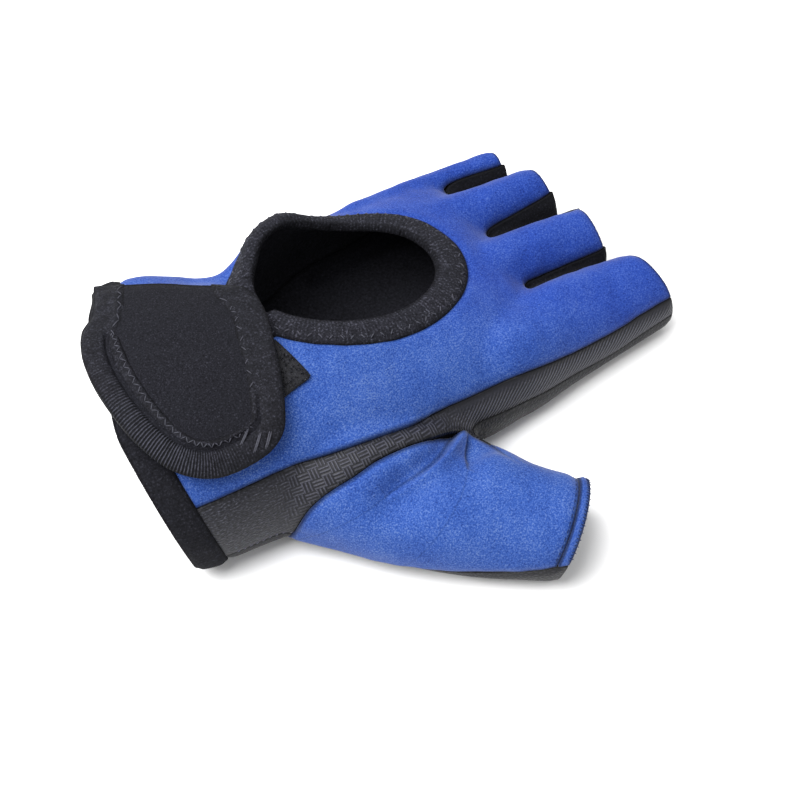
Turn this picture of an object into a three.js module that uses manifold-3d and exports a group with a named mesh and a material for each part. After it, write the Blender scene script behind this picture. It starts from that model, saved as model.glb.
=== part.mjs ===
// A fingerless fitness glove for the left hand, lying palm down and filled out as if worn.
// Units are millimetres, +Z is up, +X runs from the wrist to the fingers, +Y to the little finger.
// The glove is a thin wall between two copies of one rounded hand form. Knives in the shape of
// its seams cut that wall into the panels that a real glove is sewn from.
import * as THREE from 'three';
import { mergeVertices } from 'three/addons/utils/BufferGeometryUtils.js';
import Module from 'manifold-3d';

const wasm = await Module();
wasm.setup();

// Driving dimensions
const WALL = 2.5;            // neoprene and lined leather
const GAP = 0.3;             // between neighbouring pieces
const BINDING_RISE = 0.7;    // how far a folded tape stands above the panel that it covers
const BINDING_WIDTH = 7.6;
const SLIT_TAPE = 7.2;       // width of the same tape along the slit in the wrist
const HEM_WIDTH = 3;
const OPEN_END = 8;          // how far the hollow runs on past each open end
const FAR = 160;             // past everything
const STATION = 9;           // spacing of the form's sections
const FORM_CENTRE = { x: 54.97, y: -21.16 };   // middle of the glove's footprint in the hand's own frame

// The form: one loft for the hand and one for each finger. A row is a section: s runs along the
// limb, u0 and u1 are its two sides, bottom and top its heights, and low and high are the heights
// of its widest point on the thumb side and on the little finger's side.
const LIMBS = {
  hand: {
    x: 0, y: 0, yaw: 0, sides: 30, topPower: 2.1, bottomPower: 3.6, closedEnd: true,
    rows: [
      { s: -24, u0: -36, u1: 35, bottom: 1.6, low: 15, high: 24, top: 41 },
      { s: -8, u0: -39.5, u1: 36.5, bottom: 1, low: 14, high: 24, top: 42.6 },
      { s: 4, u0: -40, u1: 36.5, bottom: 0.6, low: 13, high: 22.5, top: 43 },
      { s: 14, u0: -40, u1: 33.5, bottom: 0, low: 12, high: 19, top: 42.5 },
      { s: 24, u0: -40, u1: 28.5, bottom: -0.4, low: 11, high: 16, top: 42 },
      { s: 36, u0: -39.5, u1: 31.5, bottom: -0.4, low: 10.5, high: 18, top: 41 },
      { s: 48, u0: -39, u1: 36, bottom: -0.4, low: 10, high: 16.5, top: 39 },
      { s: 62, u0: -38.5, u1: 37.3, bottom: -0.4, low: 9, high: 15, top: 35.5 },
      { s: 78, u0: -37, u1: 38.6, bottom: -0.4, low: 8.5, high: 13, top: 31 },
      { s: 89, u0: -34, u1: 38.8, bottom: -0.3, low: 8.5, high: 11.5, top: 26.5 },
      { s: 96, u0: -31, u1: 38, bottom: 0.4, low: 8.5, high: 11, top: 19 },
    ],
  },
  index: {
    x: 80, y: -19.5, yaw: 0.8, sides: 18, topPower: 2.1, bottomPower: 3,
    rows: [
      { s: -16, u0: -14, u1: 9, bottom: -0.3, low: 9, high: 12, top: 24 },
      { s: 0, u0: -17, u1: 11, bottom: -0.3, low: 8, high: 12, top: 28 },
      { s: 18, u0: -14.5, u1: 11, bottom: -0.3, low: 8, high: 12, top: 25 },
      { s: 36, u0: -12.4, u1: 10.4, bottom: 0, low: 8, high: 11, top: 21.5 },
      { s: 52, u0: -10.6, u1: 9.4, bottom: 0.5, low: 8, high: 11, top: 19.5 },
    ],
  },
  middle: {
    x: 80, y: 1.6, yaw: 0, sides: 18, topPower: 2.1, bottomPower: 3,
    rows: [
      { s: 0, u0: -10, u1: 10.5, bottom: -0.3, low: 11, high: 11, top: 29 },
      { s: 22, u0: -9.5, u1: 9.5, bottom: -0.1, low: 10.5, high: 10.5, top: 24 },
      { s: 44, u0: -9, u1: 9, bottom: 0.5, low: 10.5, high: 10.5, top: 20.5 },
    ],
  },
  ring: {
    x: 78, y: 20.6, yaw: 0, sides: 18, topPower: 2.1, bottomPower: 3,
    rows: [
      { s: 0, u0: -9.5, u1: 9.5, bottom: -0.3, low: 11, high: 11, top: 28 },
      { s: 20, u0: -8.8, u1: 8.3, bottom: -0.1, low: 10.5, high: 10.5, top: 24 },
      { s: 42, u0: -8.4, u1: 7.9, bottom: 0.5, low: 10.5, high: 10.5, top: 21 },
    ],
  },
  little: {
    x: 64, y: 35.8, yaw: -0.5, sides: 18, topPower: 2.1, bottomPower: 3,
    rows: [
      { s: -14, u0: -9, u1: -2, bottom: 0.2, low: 9, high: 12, top: 22 },
      { s: 0, u0: -8, u1: 0.8, bottom: 0.2, low: 9, high: 12, top: 26.5 },
      { s: 10, u0: -8, u1: 2.6, bottom: -0.2, low: 9, high: 12, top: 24.5 },
      { s: 30, u0: -6, u1: 4.7, bottom: 0, low: 9.5, high: 10, top: 19.5 },
      { s: 51, u0: -5.4, u1: 5.6, bottom: 0.5, low: 9, high: 9, top: 16.5 },
    ],
  },
  thumb: {
    x: 72, y: -74, yaw: -30.5, sides: 22, topPower: 2.0, bottomPower: 2.8,
    rows: [
      { s: -78, u0: -1, u1: 34, bottom: -0.2, low: 11, high: 12, top: 30 },
      { s: -60, u0: -6, u1: 34, bottom: -0.3, low: 11, high: 12, top: 31 },
      { s: -42, u0: -10, u1: 32, bottom: -0.3, low: 10.5, high: 12, top: 28.5 },
      { s: -25, u0: -11.8, u1: 26, bottom: -0.3, low: 10, high: 12, top: 25.5 },
      { s: -10, u0: -12, u1: 17, bottom: -0.2, low: 10, high: 11, top: 23.5 },
      { s: 10, u0: -12.2, u1: 11.5, bottom: 0, low: 10, high: 11, top: 22 },
    ],
  },
};

// Folds and swells of the cloth: each runs from one point to another and pushes the form in by
// depth, or out where depth is negative, fading over width.
const FOLDS = [
  { name: 'thumb crease', from: [62, -44, 21], to: [32, -53, 25], depth: 4, width: 3.6 },
  { name: 'short crease at the web', from: [58, -45, 23], to: [52, -55, 26], depth: 1.6, width: 2.6 },
  { name: 'hollow behind the first web', from: [84, -4, 30], to: [88, -14, 28], depth: 1.6, width: 6 },
  { name: 'hollow behind the second web', from: [84, 12, 29], to: [90, 12, 26], depth: 1.2, width: 5 },
  { name: 'corner lifted by the strap', from: [30, 27, 38], to: [40, 27, 35], depth: -8, width: 6 },
];

// Seams along the glove: the upper edge of the thumb side strip, as a height up the tilted board,
// its lower edge as a height above the floor, and the seam between back and palm on the little
// finger's side.
const SEAMS = [
  { x: -60, upper: -8, lower: 10.5, little: 7 },
  { x: 5, upper: -7.6, lower: 10, little: 7 },
  { x: 21, upper: -8, lower: 10, little: 6.5 },
  { x: 37, upper: -9.2, lower: 12, little: 6 },
  { x: 49, upper: -10.8, lower: 15, little: 6 },
  { x: 64, upper: -11.9, lower: 15.2, little: 6 },
  { x: 80, upper: -12.4, lower: 12.2, little: 6 },
  { x: 97, upper: -13.8, lower: 9.2, little: 6 },
  { x: 111, upper: -13.6, lower: 7, little: 6 },
  { x: 121, upper: -12.6, lower: 8.2, little: 6 },
  { x: 150, upper: -11.2, lower: 9.5, little: 6 },
];
const SIDE_Y = 45;           // the lower seam surface is level beyond this on the thumb's side
const LITTLE_Y = 28;         // and both are level beyond this on the little finger's side
const SEAM_DEPTH = 25;       // depth of the board, inside the hollow, to which its seam is square

// The seam round the base of the thumb, on a board tilted towards the thumb: x along the hand
// and q up the board.
const THUMB_TILT = 40;
const THUMB_SEAM = [
  { x: 5, q: -36 }, { x: 9.5, q: -26.5 }, { x: 13, q: -20.9 }, { x: 17, q: -17.9 },
  { x: 21.5, q: -16.2 }, { x: 27.5, q: -15 }, { x: 34, q: -13.8 }, { x: 43.5, q: -14 },
  { x: 53, q: -15.7 }, { x: 59, q: -17.9 }, { x: 62.5, q: -21 }, { x: 67, q: -27 },
  { x: 74, q: -29.5 },
];
const THUMB_SOLE = 4;        // the leather under the thumb comes up to this height
const THUMB_FAR = -31;       // the thumb's seam surface runs on at this height past its last row
const THUMB_DEEP = -60;      // and starts this deep below the board
const THUMB_END = { x: 70.5, y: -75, z: 12, yaw: -40.4, lean: 13, long: 40, wide: 60, tall: 90 };

// Finger openings: where each tube is cut, how the cut is turned, and where its neighbours start
const FINGER_ENDS = [
  { x: 127.7, y: -20, turn: 17, from: -60, to: -8.3 },
  { x: 122, y: 1.6, turn: 0, from: -8.3, to: 11.2 },
  { x: 117.5, y: 20.4, turn: -4, from: 11.2, to: 29.2 },
  { x: 113, y: 35, turn: -4, from: 29.2, to: 70 },
];
const FINGER_ROOT = 90;      // no finger is cut nearer the wrist than this

// Stretch pieces between the fingers: where each starts, how high it comes there and at the
// fingers' ends, and the two finger middles that it runs between
const WEBS = [
  { name: 'fourchette_index_middle', x: 96.5, top: 17.5, topAtEnd: 15.8, from: -19, to: 1.6 },
  { name: 'fourchette_middle_ring', x: 94.5, top: 17.5, topAtEnd: 19, from: 1.6, to: 20.6 },
  { name: 'fourchette_ring_little', x: 92, top: 16.8, topAtEnd: 14.4, from: 20.6, to: 35.3 },
];
const WEB_BOTTOM = 5;
const WEB_THROAT = 4;        // below its top edge a stretch piece starts this much nearer the palm
const WEB_END = 120;

// The keyhole on the back of the hand, the outer edge of its tape, and the slit that opens the
// wrist under the strap
const KEYHOLE = { x: 51, y: 6.9, along: 24.2, across: 17.1, turn: -6 };
const KEYHOLE_RIM = { x: 51.2, y: 5.9, along: 31.3, across: 22.4, turn: -6 };
const KEYHOLE_SIDES = 32;
const SLIT = { from: -60, to: 32, low: -1.5, high: 4.5 };
const TOP_LEVEL = 16;        // what is cut from above stops at this height inside the hollow

// The cuff edge, seen from above at one height, and how far it leans back as it rises
const CUFF = [
  { y: -FAR, x: -15.7 }, { y: -16, x: -15.7 }, { y: 0, x: -12 }, { y: 12, x: -9.5 },
  { y: 22, x: -6 }, { y: 32, x: -1.5 }, { y: FAR, x: 0 },
];
const CUFF_LEAN = { slope: 0.2, level: 15 };

// The strap: a D shaped tab on a board tilted towards the thumb. It is sewn on along the edge
// from its first row to its last, and its free edge is bound.
const STRAP_TILT = 18;
const STRAP_SHIFT = { y: -0.9, z: 0.5 };
const STRAP_RISE = 1.3;      // how far its underside floats above the panels
const STRAP_OUTLINE = [
  { x: -4.5, y: 29, z: 38 }, { x: -13, y: 21.5, z: 39.5 }, { x: -18, y: 12, z: 42 },
  { x: -19.6, y: 0, z: 44 }, { x: -18.4, y: -12, z: 44 }, { x: -15.1, y: -21.4, z: 42.5 },
  { x: -10.6, y: -27.7, z: 40 }, { x: -2, y: -33, z: 37 }, { x: 7, y: -34.8, z: 35.5 },
  { x: 14.3, y: -31.8, z: 38 }, { x: 19, y: -24, z: 42 }, { x: 22.6, y: -12, z: 45 },
  { x: 26.2, y: 3, z: 45.5 }, { x: 25.6, y: 12, z: 43 },
];
const STRAP_POINTS = 40;
const HEM_RISE = 0.5;        // how far the thumb's hem stands above its panel

// The patch of hooks under the strap, of which one corner shows
const HOOKS = [
  { x: 27.8, y: -19.9 }, { x: 24.2, y: -8 }, { x: 17, y: 0 }, { x: 0, y: -8 },
  { x: 5, y: -26 }, { x: 20.6, y: -21.5 },
];
const HOOK_RISE = { from: 0.3, to: 1.5 };

const radians = (degrees) => THREE.MathUtils.degToRad(degrees);

// Smooth curve through one column of a table, flat beyond its two ends
function along(rows, at, where, column) {
  const last = rows.length - 1;
  if (where <= rows[0][at]) return rows[0][column];
  if (where >= rows[last][at]) return rows[last][column];
  let i = 0;
  while (rows[i + 1][at] < where) i += 1;
  const before = rows[Math.max(i - 1, 0)];
  const a = rows[i];
  const b = rows[i + 1];
  const after = rows[Math.min(i + 2, last)];
  const step = b[at] - a[at];
  const t = (where - a[at]) / step;
  const slopeA = ((b[column] - before[column]) / (b[at] - before[at])) * step;
  const slopeB = ((after[column] - a[column]) / (after[at] - a[at])) * step;
  const t2 = t * t;
  const t3 = t2 * t;
  return (2 * t3 - 3 * t2 + 1) * a[column] + (t3 - 2 * t2 + t) * slopeA
    + (3 * t2 - 2 * t3) * b[column] + (t3 - t2) * slopeB;
}

// How far the folds push the form in at a point
function foldDepth(point) {
  let depth = 0;
  for (const fold of FOLDS) {
    const line = new THREE.Line3(new THREE.Vector3(...fold.from), new THREE.Vector3(...fold.to));
    const nearest = line.closestPointToPoint(point, true, new THREE.Vector3());
    depth += fold.depth * Math.exp(-0.5 * (nearest.distanceTo(point) / fold.width) ** 2);
  }
  return depth;
}

function solidOf(positions, triangles) {
  return new wasm.Manifold(new wasm.Mesh({
    numProp: 3,
    vertProperties: new Float32Array(positions),
    triVerts: new Uint32Array(triangles),
  }));
}

function solidOfGeometry(geometry) {
  geometry.deleteAttribute('normal');
  geometry.deleteAttribute('uv');
  const merged = mergeVertices(geometry, 1e-5);
  return solidOf(merged.attributes.position.array, merged.index.array);
}

// Closed solid through rings of points that all have the same count
function loft(rings) {
  const count = rings[0].length;
  const positions = rings.flat().flatMap((p) => [p.x, p.y, p.z]);
  const triangles = [];
  for (let r = 0; r < rings.length - 1; r += 1) {
    for (let k = 0; k < count; k += 1) {
      const a = r * count + k;
      const b = r * count + ((k + 1) % count);
      triangles.push(a, b, b + count, a, b + count, a + count);
    }
  }
  const first = rings[0];
  const last = rings[rings.length - 1];
  for (const [ring, base, flip] of [[first, 0, true], [last, (rings.length - 1) * count, false]]) {
    const middle = ring.reduce((sum, p) => sum.add(p), new THREE.Vector3()).divideScalar(count);
    const hub = positions.length / 3;
    positions.push(middle.x, middle.y, middle.z);
    for (let k = 0; k < count; k += 1) {
      const a = base + k;
      const b = base + ((k + 1) % count);
      triangles.push(hub, flip ? b : a, flip ? a : b);
    }
  }
  return solidOf(positions, triangles);
}

// One limb of the form, grown by an offset. A hollow (negative offset) stops short of a closed
// end by the wall, and runs on past an open one.
function limbSolid(limb, offset) {
  const { rows, sides } = limb;
  const hollow = offset < 0;
  const start = rows[0].s;
  const end = rows[rows.length - 1].s + (hollow && limb.closedEnd ? offset : 0);
  const steps = Math.max(2, Math.round((end - start) / STATION));
  const stations = Array.from({ length: steps + 1 }, (_, i) => start + ((end - start) * i) / steps);
  if (hollow && limb.closedEnd) stations.unshift(start - OPEN_END);
  if (hollow && !limb.closedEnd) stations.push(end + OPEN_END);
  const yaw = radians(limb.yaw);
  const axis = new THREE.Vector3(Math.cos(yaw), Math.sin(yaw), 0);
  const across = new THREE.Vector3(-Math.sin(yaw), Math.cos(yaw), 0);
  const ringAt = (s) => {
    const row = {};
    for (const column of ['u0', 'u1', 'bottom', 'low', 'high', 'top']) {
      row[column] = along(rows, 's', s, column);
    }
    const middle = (row.u0 + row.u1) / 2;
    const halfWidth = (row.u1 - row.u0) / 2;
    const base = new THREE.Vector3(limb.x, limb.y, 0).addScaledVector(axis, s);
    const place = (grow, k) => {
      const angle = (2 * Math.PI * k) / sides;
      const c = Math.cos(angle);
      const d = Math.sin(angle);
      const power = d >= 0 ? limb.topPower : limb.bottomPower;
      const side = Math.sign(c) * Math.abs(c) ** (2 / power);
      const widest = row.low + ((row.high - row.low) * (side + 1)) / 2;
      const height = d >= 0 ? row.top - widest + grow : widest - row.bottom + grow;
      return base.clone()
        .addScaledVector(across, middle + (halfWidth + grow) * side)
        .setZ(widest + height * Math.sign(d) * Math.abs(d) ** (2 / power));
    };
    const hub = base.clone().addScaledVector(across, middle).setZ((row.low + row.high) / 2);
    return Array.from({ length: sides }, (_, k) => {
      const point = place(offset, k);
      const inward = hub.clone().sub(point).normalize();
      return point.addScaledVector(inward, foldDepth(place(0, k)));
    });
  };
  return loft(stations.map(ringAt));
}

function form(offset, names = Object.keys(LIMBS)) {
  return names
    .map((name) => limbSolid(LIMBS[name], offset))
    .reduce((whole, limb) => whole.add(limb));
}

// A closed outline with every edge moved outwards by the same distance
function grown(points, distance) {
  const outline = points.map((p) => new THREE.Vector2(p.x, p.q ?? p.y));
  const out = Math.sign(THREE.ShapeUtils.area(outline)) * distance;
  const normal = (a, b) => new THREE.Vector2(b.y - a.y, a.x - b.x).normalize();
  return outline.map((p, i) => {
    const before = normal(outline.at(i - 1), p);
    const after = normal(p, outline[(i + 1) % outline.length]);
    const corner = before.clone().add(after).divideScalar(1 + before.dot(after));
    return p.clone().addScaledVector(corner, out);
  });
}

// A prism cut from an outline on a board tilted about X, from one depth of the board to another
function prism(points, tilt, from, to, lean = new THREE.Matrix4()) {
  const shape = new THREE.Shape(points.map((p) => new THREE.Vector2(p.x, p.q ?? p.y)));
  const geometry = new THREE.ExtrudeGeometry(shape, { depth: to - from, bevelEnabled: false });
  geometry.translate(0, 0, from);
  geometry.rotateX(radians(tilt));
  geometry.applyMatrix4(lean);
  return solidOfGeometry(geometry);
}

function ellipse({ x, y, along: a, across: b, turn }, grow, samples) {
  const t = radians(turn);
  return Array.from({ length: samples }, (_, i) => {
    const angle = (2 * Math.PI * i) / samples;
    const u = (a + grow) * Math.cos(angle);
    const v = (b + grow) * Math.sin(angle);
    return { x: x + u * Math.cos(t) - v * Math.sin(t), y: y + u * Math.sin(t) + v * Math.cos(t) };
  });
}

const box = ({ x0, x1, y0, y1 }) => [
  { x: x0, y: y0 }, { x: x1, y: y0 }, { x: x1, y: y1 }, { x: x0, y: y1 },
];

// Everything below a level
const below = (z) => prism(box({ x0: -FAR, x1: FAR, y0: -FAR, y1: FAR }), 0, -FAR, z);

// Everything above a surface that runs across the glove, from its thumb side at the left of each
// profile to the little finger's side
function above(profile) {
  return loft(SEAMS.map((row) => profile(row).map(([y, z]) => new THREE.Vector3(row.x, y, z))));
}

function aboveLower(lift) {
  return above((row) => [
    [-FAR, row.lower + lift], [-SIDE_Y, row.lower + lift], [LITTLE_Y, row.little + lift],
    [FAR, row.little + lift], [FAR, FAR], [-FAR, FAR],
  ]);
}

function aboveUpper(lift) {
  const c = Math.cos(radians(THUMB_TILT));
  const s = Math.sin(radians(THUMB_TILT));
  const onBoard = (q, depth) => [q * c - depth * s, q * s + depth * c];
  return above((row) => [
    onBoard(row.upper + lift, FAR), onBoard(row.upper + lift, SEAM_DEPTH),
    [LITTLE_Y, row.little + lift], [FAR, row.little + lift], [FAR, FAR],
  ]);
}

// The space between two fingers that a stretch piece fills
function webSpace(web, grow) {
  const bottom = WEB_BOTTOM - grow;
  const start = web.x - grow - WEB_THROAT;
  const shape = new THREE.Shape([
    new THREE.Vector2(start, bottom), new THREE.Vector2(FAR, bottom),
    new THREE.Vector2(FAR, web.topAtEnd + grow), new THREE.Vector2(WEB_END, web.topAtEnd + grow),
    new THREE.Vector2(web.x - grow, web.top + grow),
    new THREE.Vector2(start, web.top + grow - WEB_THROAT),
  ]);
  const width = web.to - web.from + 2 * grow;
  const geometry = new THREE.ExtrudeGeometry(shape, { depth: width, bevelEnabled: false });
  geometry.rotateX(radians(90));
  geometry.translate(0, web.to + grow, 0);
  return solidOfGeometry(geometry);
}

function thumbSpace(grow) {
  const outline = [
    ...THUMB_SEAM, { x: FAR, q: THUMB_FAR }, { x: FAR, q: -FAR }, { x: THUMB_SEAM[0].x, q: -FAR },
  ];
  return prism(grown(outline, grow), THUMB_TILT, THUMB_DEEP, FAR);
}

// An oval hole in the back of the hand together with the slit, grown by a distance
function keyholeSpace(oval, slitGrow, grow = 0) {
  const hole = prism(ellipse(oval, grow, KEYHOLE_SIDES), 0, TOP_LEVEL, FAR);
  const side = slitGrow + grow;
  const slit = prism(box({
    x0: SLIT.from, x1: SLIT.to, y0: SLIT.low - side, y1: SLIT.high + side,
  }), 0, TOP_LEVEL, FAR);
  return hole.add(slit);
}

// What lies on the hand's side of the cuff edge, moved inwards along the wrist
function pastCuff(inward) {
  const edge = CUFF.map((row) => ({ x: row.x + inward, y: row.y }));
  const shape = [{ x: FAR, y: -FAR }, { x: FAR, y: FAR }, ...edge.reverse()];
  const { slope, level } = CUFF_LEAN;
  const lean = new THREE.Matrix4()
    .set(1, 0, -slope, slope * level, 0, 1, 0, 0, 0, 0, 1, 0, 0, 0, 0, 1);
  return prism(shape, 0, -FAR, FAR, lean);
}

// What lies past the end of the thumb, moved back towards the hand
function pastThumb(back) {
  const geometry = new THREE.BoxGeometry(THUMB_END.long, THUMB_END.wide, THUMB_END.tall);
  geometry.translate(THUMB_END.long / 2 - back, 0, 0);
  geometry.rotateY(radians(THUMB_END.lean));
  geometry.rotateZ(radians(THUMB_END.yaw));
  geometry.translate(THUMB_END.x, THUMB_END.y, THUMB_END.z);
  return solidOfGeometry(geometry);
}

function pastFinger(end) {
  const geometry = new THREE.BoxGeometry(FAR, 2 * FAR, 2 * FAR);
  geometry.translate(FAR / 2, 0, 0);
  geometry.rotateZ(radians(end.turn));
  geometry.translate(end.x, end.y, 0);
  const lane = prism(box({ x0: FINGER_ROOT, x1: FAR, y0: end.from, y1: end.to }), 0, -FAR, FAR);
  return solidOfGeometry(geometry).intersect(lane);
}

// The strap's outline on its board: a smooth free edge, closed by the straight seam. An inset
// moves the free edge towards the middle and shortens the seam by as much at each end.
function strapOutline(inset) {
  const t = radians(STRAP_TILT);
  const rows = STRAP_OUTLINE
    .map((p) => new THREE.Vector3(p.x, p.y * Math.cos(t) + p.z * Math.sin(t), 0));
  const middle = rows.reduce((sum, p) => sum.add(p), new THREE.Vector3()).divideScalar(rows.length);
  const last = rows.length - 1;
  const moved = rows.map((p, i) => {
    const goal = { 0: rows[last], [last]: rows[0] }[i] ?? middle;
    return p.clone().addScaledVector(goal.clone().sub(p).normalize(), inset);
  });
  return new THREE.CatmullRomCurve3(moved, false, 'centripetal').getPoints(STRAP_POINTS);
}

const strapSpace = (inset, grow = 0) => prism(
  grow ? grown(strapOutline(inset), grow) : strapOutline(inset), STRAP_TILT, TOP_LEVEL, FAR,
);

const largest = (solid) => solid.decompose()
  .reduce((best, piece) => (piece.volume() > best.volume() ? piece : best));

const glove = new THREE.Group();

function addPiece(name, solid, colour, roughness) {
  const { numProp, vertProperties, triVerts } = largest(solid).getMesh();
  const geometry = new THREE.BufferGeometry();
  const positions = new Float32Array((vertProperties.length / numProp) * 3);
  for (let i = 0; i < positions.length / 3; i += 1) {
    positions.set(vertProperties.subarray(i * numProp, i * numProp + 3), i * 3);
  }
  geometry.setAttribute('position', new THREE.BufferAttribute(positions, 3));
  geometry.setIndex(new THREE.BufferAttribute(new Uint32Array(triVerts), 1));
  geometry.computeVertexNormals();
  const material = new THREE.MeshStandardMaterial({ color: colour, roughness, metalness: 0 });
  const mesh = new THREE.Mesh(geometry, material);
  mesh.name = name;
  glove.add(mesh);
}

// The wall of the glove, open at the wrist, the fingers and the thumb
const outer = form(0);
const hollow = form(-WALL);
const ends = FINGER_ENDS.map(pastFinger).reduce((all, end) => all.add(end)).add(pastThumb(0));
const floor = below(0);
const wall = outer.subtract(hollow).subtract(ends).subtract(floor);

const belowSole = below(THUMB_SOLE + GAP);
const sole = below(THUMB_SOLE);
const thumbRegion = thumbSpace(0).subtract(belowSole);
const thumbRoom = thumbSpace(GAP).subtract(sole);
const webRooms = WEBS.map((web) => webSpace(web, GAP)).reduce((all, room) => all.add(room));
const behindCuff = pastCuff(BINDING_WIDTH + GAP);
const keyhole = keyholeSpace(KEYHOLE, 0);
const bindingBand = keyholeSpace(KEYHOLE_RIM, SLIT_TAPE);
const bindingRoom = keyholeSpace(KEYHOLE_RIM, SLIT_TAPE, GAP);
const panels = wall.intersect(behindCuff);

// Royal blue neoprene over the back of the hand and the finger tops
addPiece(
  'back_panel',
  panels.intersect(aboveUpper(GAP / 2)).subtract(thumbRoom).subtract(webRooms).subtract(bindingRoom),
  0x3a5cbe, 0.85,
);

// Royal blue neoprene over the thumb, and the stitched hem at its opening
const thumbCloth = panels.intersect(thumbRegion);
addPiece('thumb_panel', thumbCloth.subtract(pastThumb(HEM_WIDTH + GAP)), 0x3a5cbe, 0.85);
const hemShell = form(HEM_RISE, ['thumb']).subtract(hollow).intersect(thumbRegion).subtract(pastThumb(0));
addPiece('thumb_hem', hemShell.intersect(pastThumb(HEM_WIDTH)), 0x3553b0, 0.9);

// Embossed charcoal strip along the thumb side, from the cuff to the index finger
addPiece(
  'side_gusset',
  panels.subtract(aboveUpper(-GAP / 2)).intersect(aboveLower(GAP / 2)).subtract(thumbRoom).subtract(webRooms),
  0x464648, 0.5,
);

// Black leather palm, which also runs under the thumb and the fingers
addPiece(
  'palm_panel',
  panels.subtract(aboveLower(-GAP / 2)).subtract(thumbRoom).subtract(webRooms),
  0x1c1c1e, 0.6,
);

// Black stretch pieces between the fingers
for (const web of WEBS) {
  addPiece(web.name, wall.intersect(webSpace(web, 0)), 0x17171a, 0.9);
}

// Ribbed black tape folded over the keyhole's edge and the cuff's edge
const tapeShell = form(BINDING_RISE, ['hand', 'thumb']).subtract(hollow).subtract(floor);
addPiece(
  'keyhole_binding',
  tapeShell.intersect(bindingBand).subtract(keyhole).intersect(behindCuff),
  0x141416, 0.8,
);
const cuffTape = tapeShell.intersect(pastCuff(0)).subtract(pastCuff(BINDING_WIDTH));
addPiece('cuff_binding', cuffTape.subtract(keyhole), 0x141416, 0.8);

// The strap, the tape round its free edge, and the patch of hooks beneath it
const strapShell = (from, to) => form(to, ['hand']).subtract(form(from, ['hand']))
  .translate([0, STRAP_SHIFT.y, STRAP_SHIFT.z]);
const strapTop = STRAP_RISE + WALL;
addPiece(
  'strap',
  strapShell(STRAP_RISE, strapTop).intersect(strapSpace(BINDING_WIDTH)),
  0x17171a, 0.95,
);
const strapTape = strapShell(STRAP_RISE, strapTop + BINDING_RISE).intersect(strapSpace(0));
addPiece('strap_binding', strapTape.subtract(strapSpace(BINDING_WIDTH, GAP)), 0x141416, 0.8);
const hookShell = form(HOOK_RISE.to, ['hand']).subtract(form(HOOK_RISE.from, ['hand']));
addPiece(
  'hook_patch',
  hookShell.intersect(prism(HOOKS, 0, TOP_LEVEL, FAR)).subtract(bindingRoom),
  0x1b1b1d, 1,
);

glove.position.set(-FORM_CENTRE.x, -FORM_CENTRE.y, 0);
glove.updateMatrixWorld(true);

export default glove;
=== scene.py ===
# %% [markdown]
# # A fingerless fitness glove
# The glove is sewn from thin panels of blue neoprene, embossed cloth and black leather. Its edges
# are folded into ribbed tape. It lies palm down and keeps its filled-out form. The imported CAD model
# fixes its size and place, and this script gives it its looks.

import math

import bpy
import numpy as np
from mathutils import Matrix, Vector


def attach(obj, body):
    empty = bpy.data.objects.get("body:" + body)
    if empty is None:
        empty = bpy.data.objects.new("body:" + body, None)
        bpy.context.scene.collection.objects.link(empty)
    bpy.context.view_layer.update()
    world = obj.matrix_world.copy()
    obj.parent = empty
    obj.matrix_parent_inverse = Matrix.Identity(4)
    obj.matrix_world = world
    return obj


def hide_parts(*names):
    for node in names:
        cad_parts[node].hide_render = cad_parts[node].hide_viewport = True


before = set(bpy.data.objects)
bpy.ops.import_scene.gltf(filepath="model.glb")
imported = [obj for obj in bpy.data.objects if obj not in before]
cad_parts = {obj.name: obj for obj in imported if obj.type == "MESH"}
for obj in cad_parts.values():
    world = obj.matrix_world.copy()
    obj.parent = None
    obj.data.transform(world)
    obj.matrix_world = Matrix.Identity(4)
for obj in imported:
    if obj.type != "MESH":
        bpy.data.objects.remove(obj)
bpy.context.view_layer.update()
print("CAD nodes:", sorted(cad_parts))

# %% [markdown]
# ## Units and the glove's own frame
# Every length below is in millimetres, because seams and tapes are easier to read that way. The
# tables use the glove's own frame, whose origin lies under the wrist. The row's origin is the middle
# of the footprint, so a finished mesh is moved there and scaled to metres as the last thing.

# %% Units
MM = 0.001
FORM_CENTRE = np.array([54.97, -21.16, 0.0])


def to_row(points):
    """Millimetres in the glove's own frame to metres in the row frame."""
    return (np.asarray(points, float) - FORM_CENTRE) * MM


# %% [markdown]
# ## Camera
# The photograph looks down at the back of the glove from the thumb's side. A long lens at about
# half a metre gives the same mild perspective. The camera's place is worked out from its angles.

# %% Camera
CAMERA_TARGET = np.array([49.4, -24.8, 20.0])
CAMERA_AZIMUTH = math.radians(-28.5)
CAMERA_ELEVATION = math.radians(57.2)
CAMERA_DISTANCE = 450.0
CAMERA_LENS = 80.2

away = np.array([
    math.sin(CAMERA_AZIMUTH) * math.cos(CAMERA_ELEVATION),
    -math.cos(CAMERA_AZIMUTH) * math.cos(CAMERA_ELEVATION),
    math.sin(CAMERA_ELEVATION),
])
camera_data = bpy.data.cameras.new("camera")
camera_data.lens = CAMERA_LENS
camera_data.clip_start = 0.01
camera = bpy.data.objects.new("camera", camera_data)
camera.location = to_row(CAMERA_TARGET + away * CAMERA_DISTANCE)
camera.rotation_euler = (math.pi / 2 - CAMERA_ELEVATION, 0, CAMERA_AZIMUTH)
bpy.context.scene.collection.objects.link(camera)
bpy.context.scene.camera = camera
print("camera at", [round(v, 3) for v in camera.location])

# %% [markdown]
# ## Light and floor
# The photograph was taken on white with large soft lights, so shadows are short and weak. A pale
# floor, a bright even sky and two large area lights give that. The lights are sized in metres.

# %% Light and floor
scene = bpy.context.scene
scene.view_settings.view_transform = "Standard"
SKY_STRENGTH = 0.68
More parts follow.
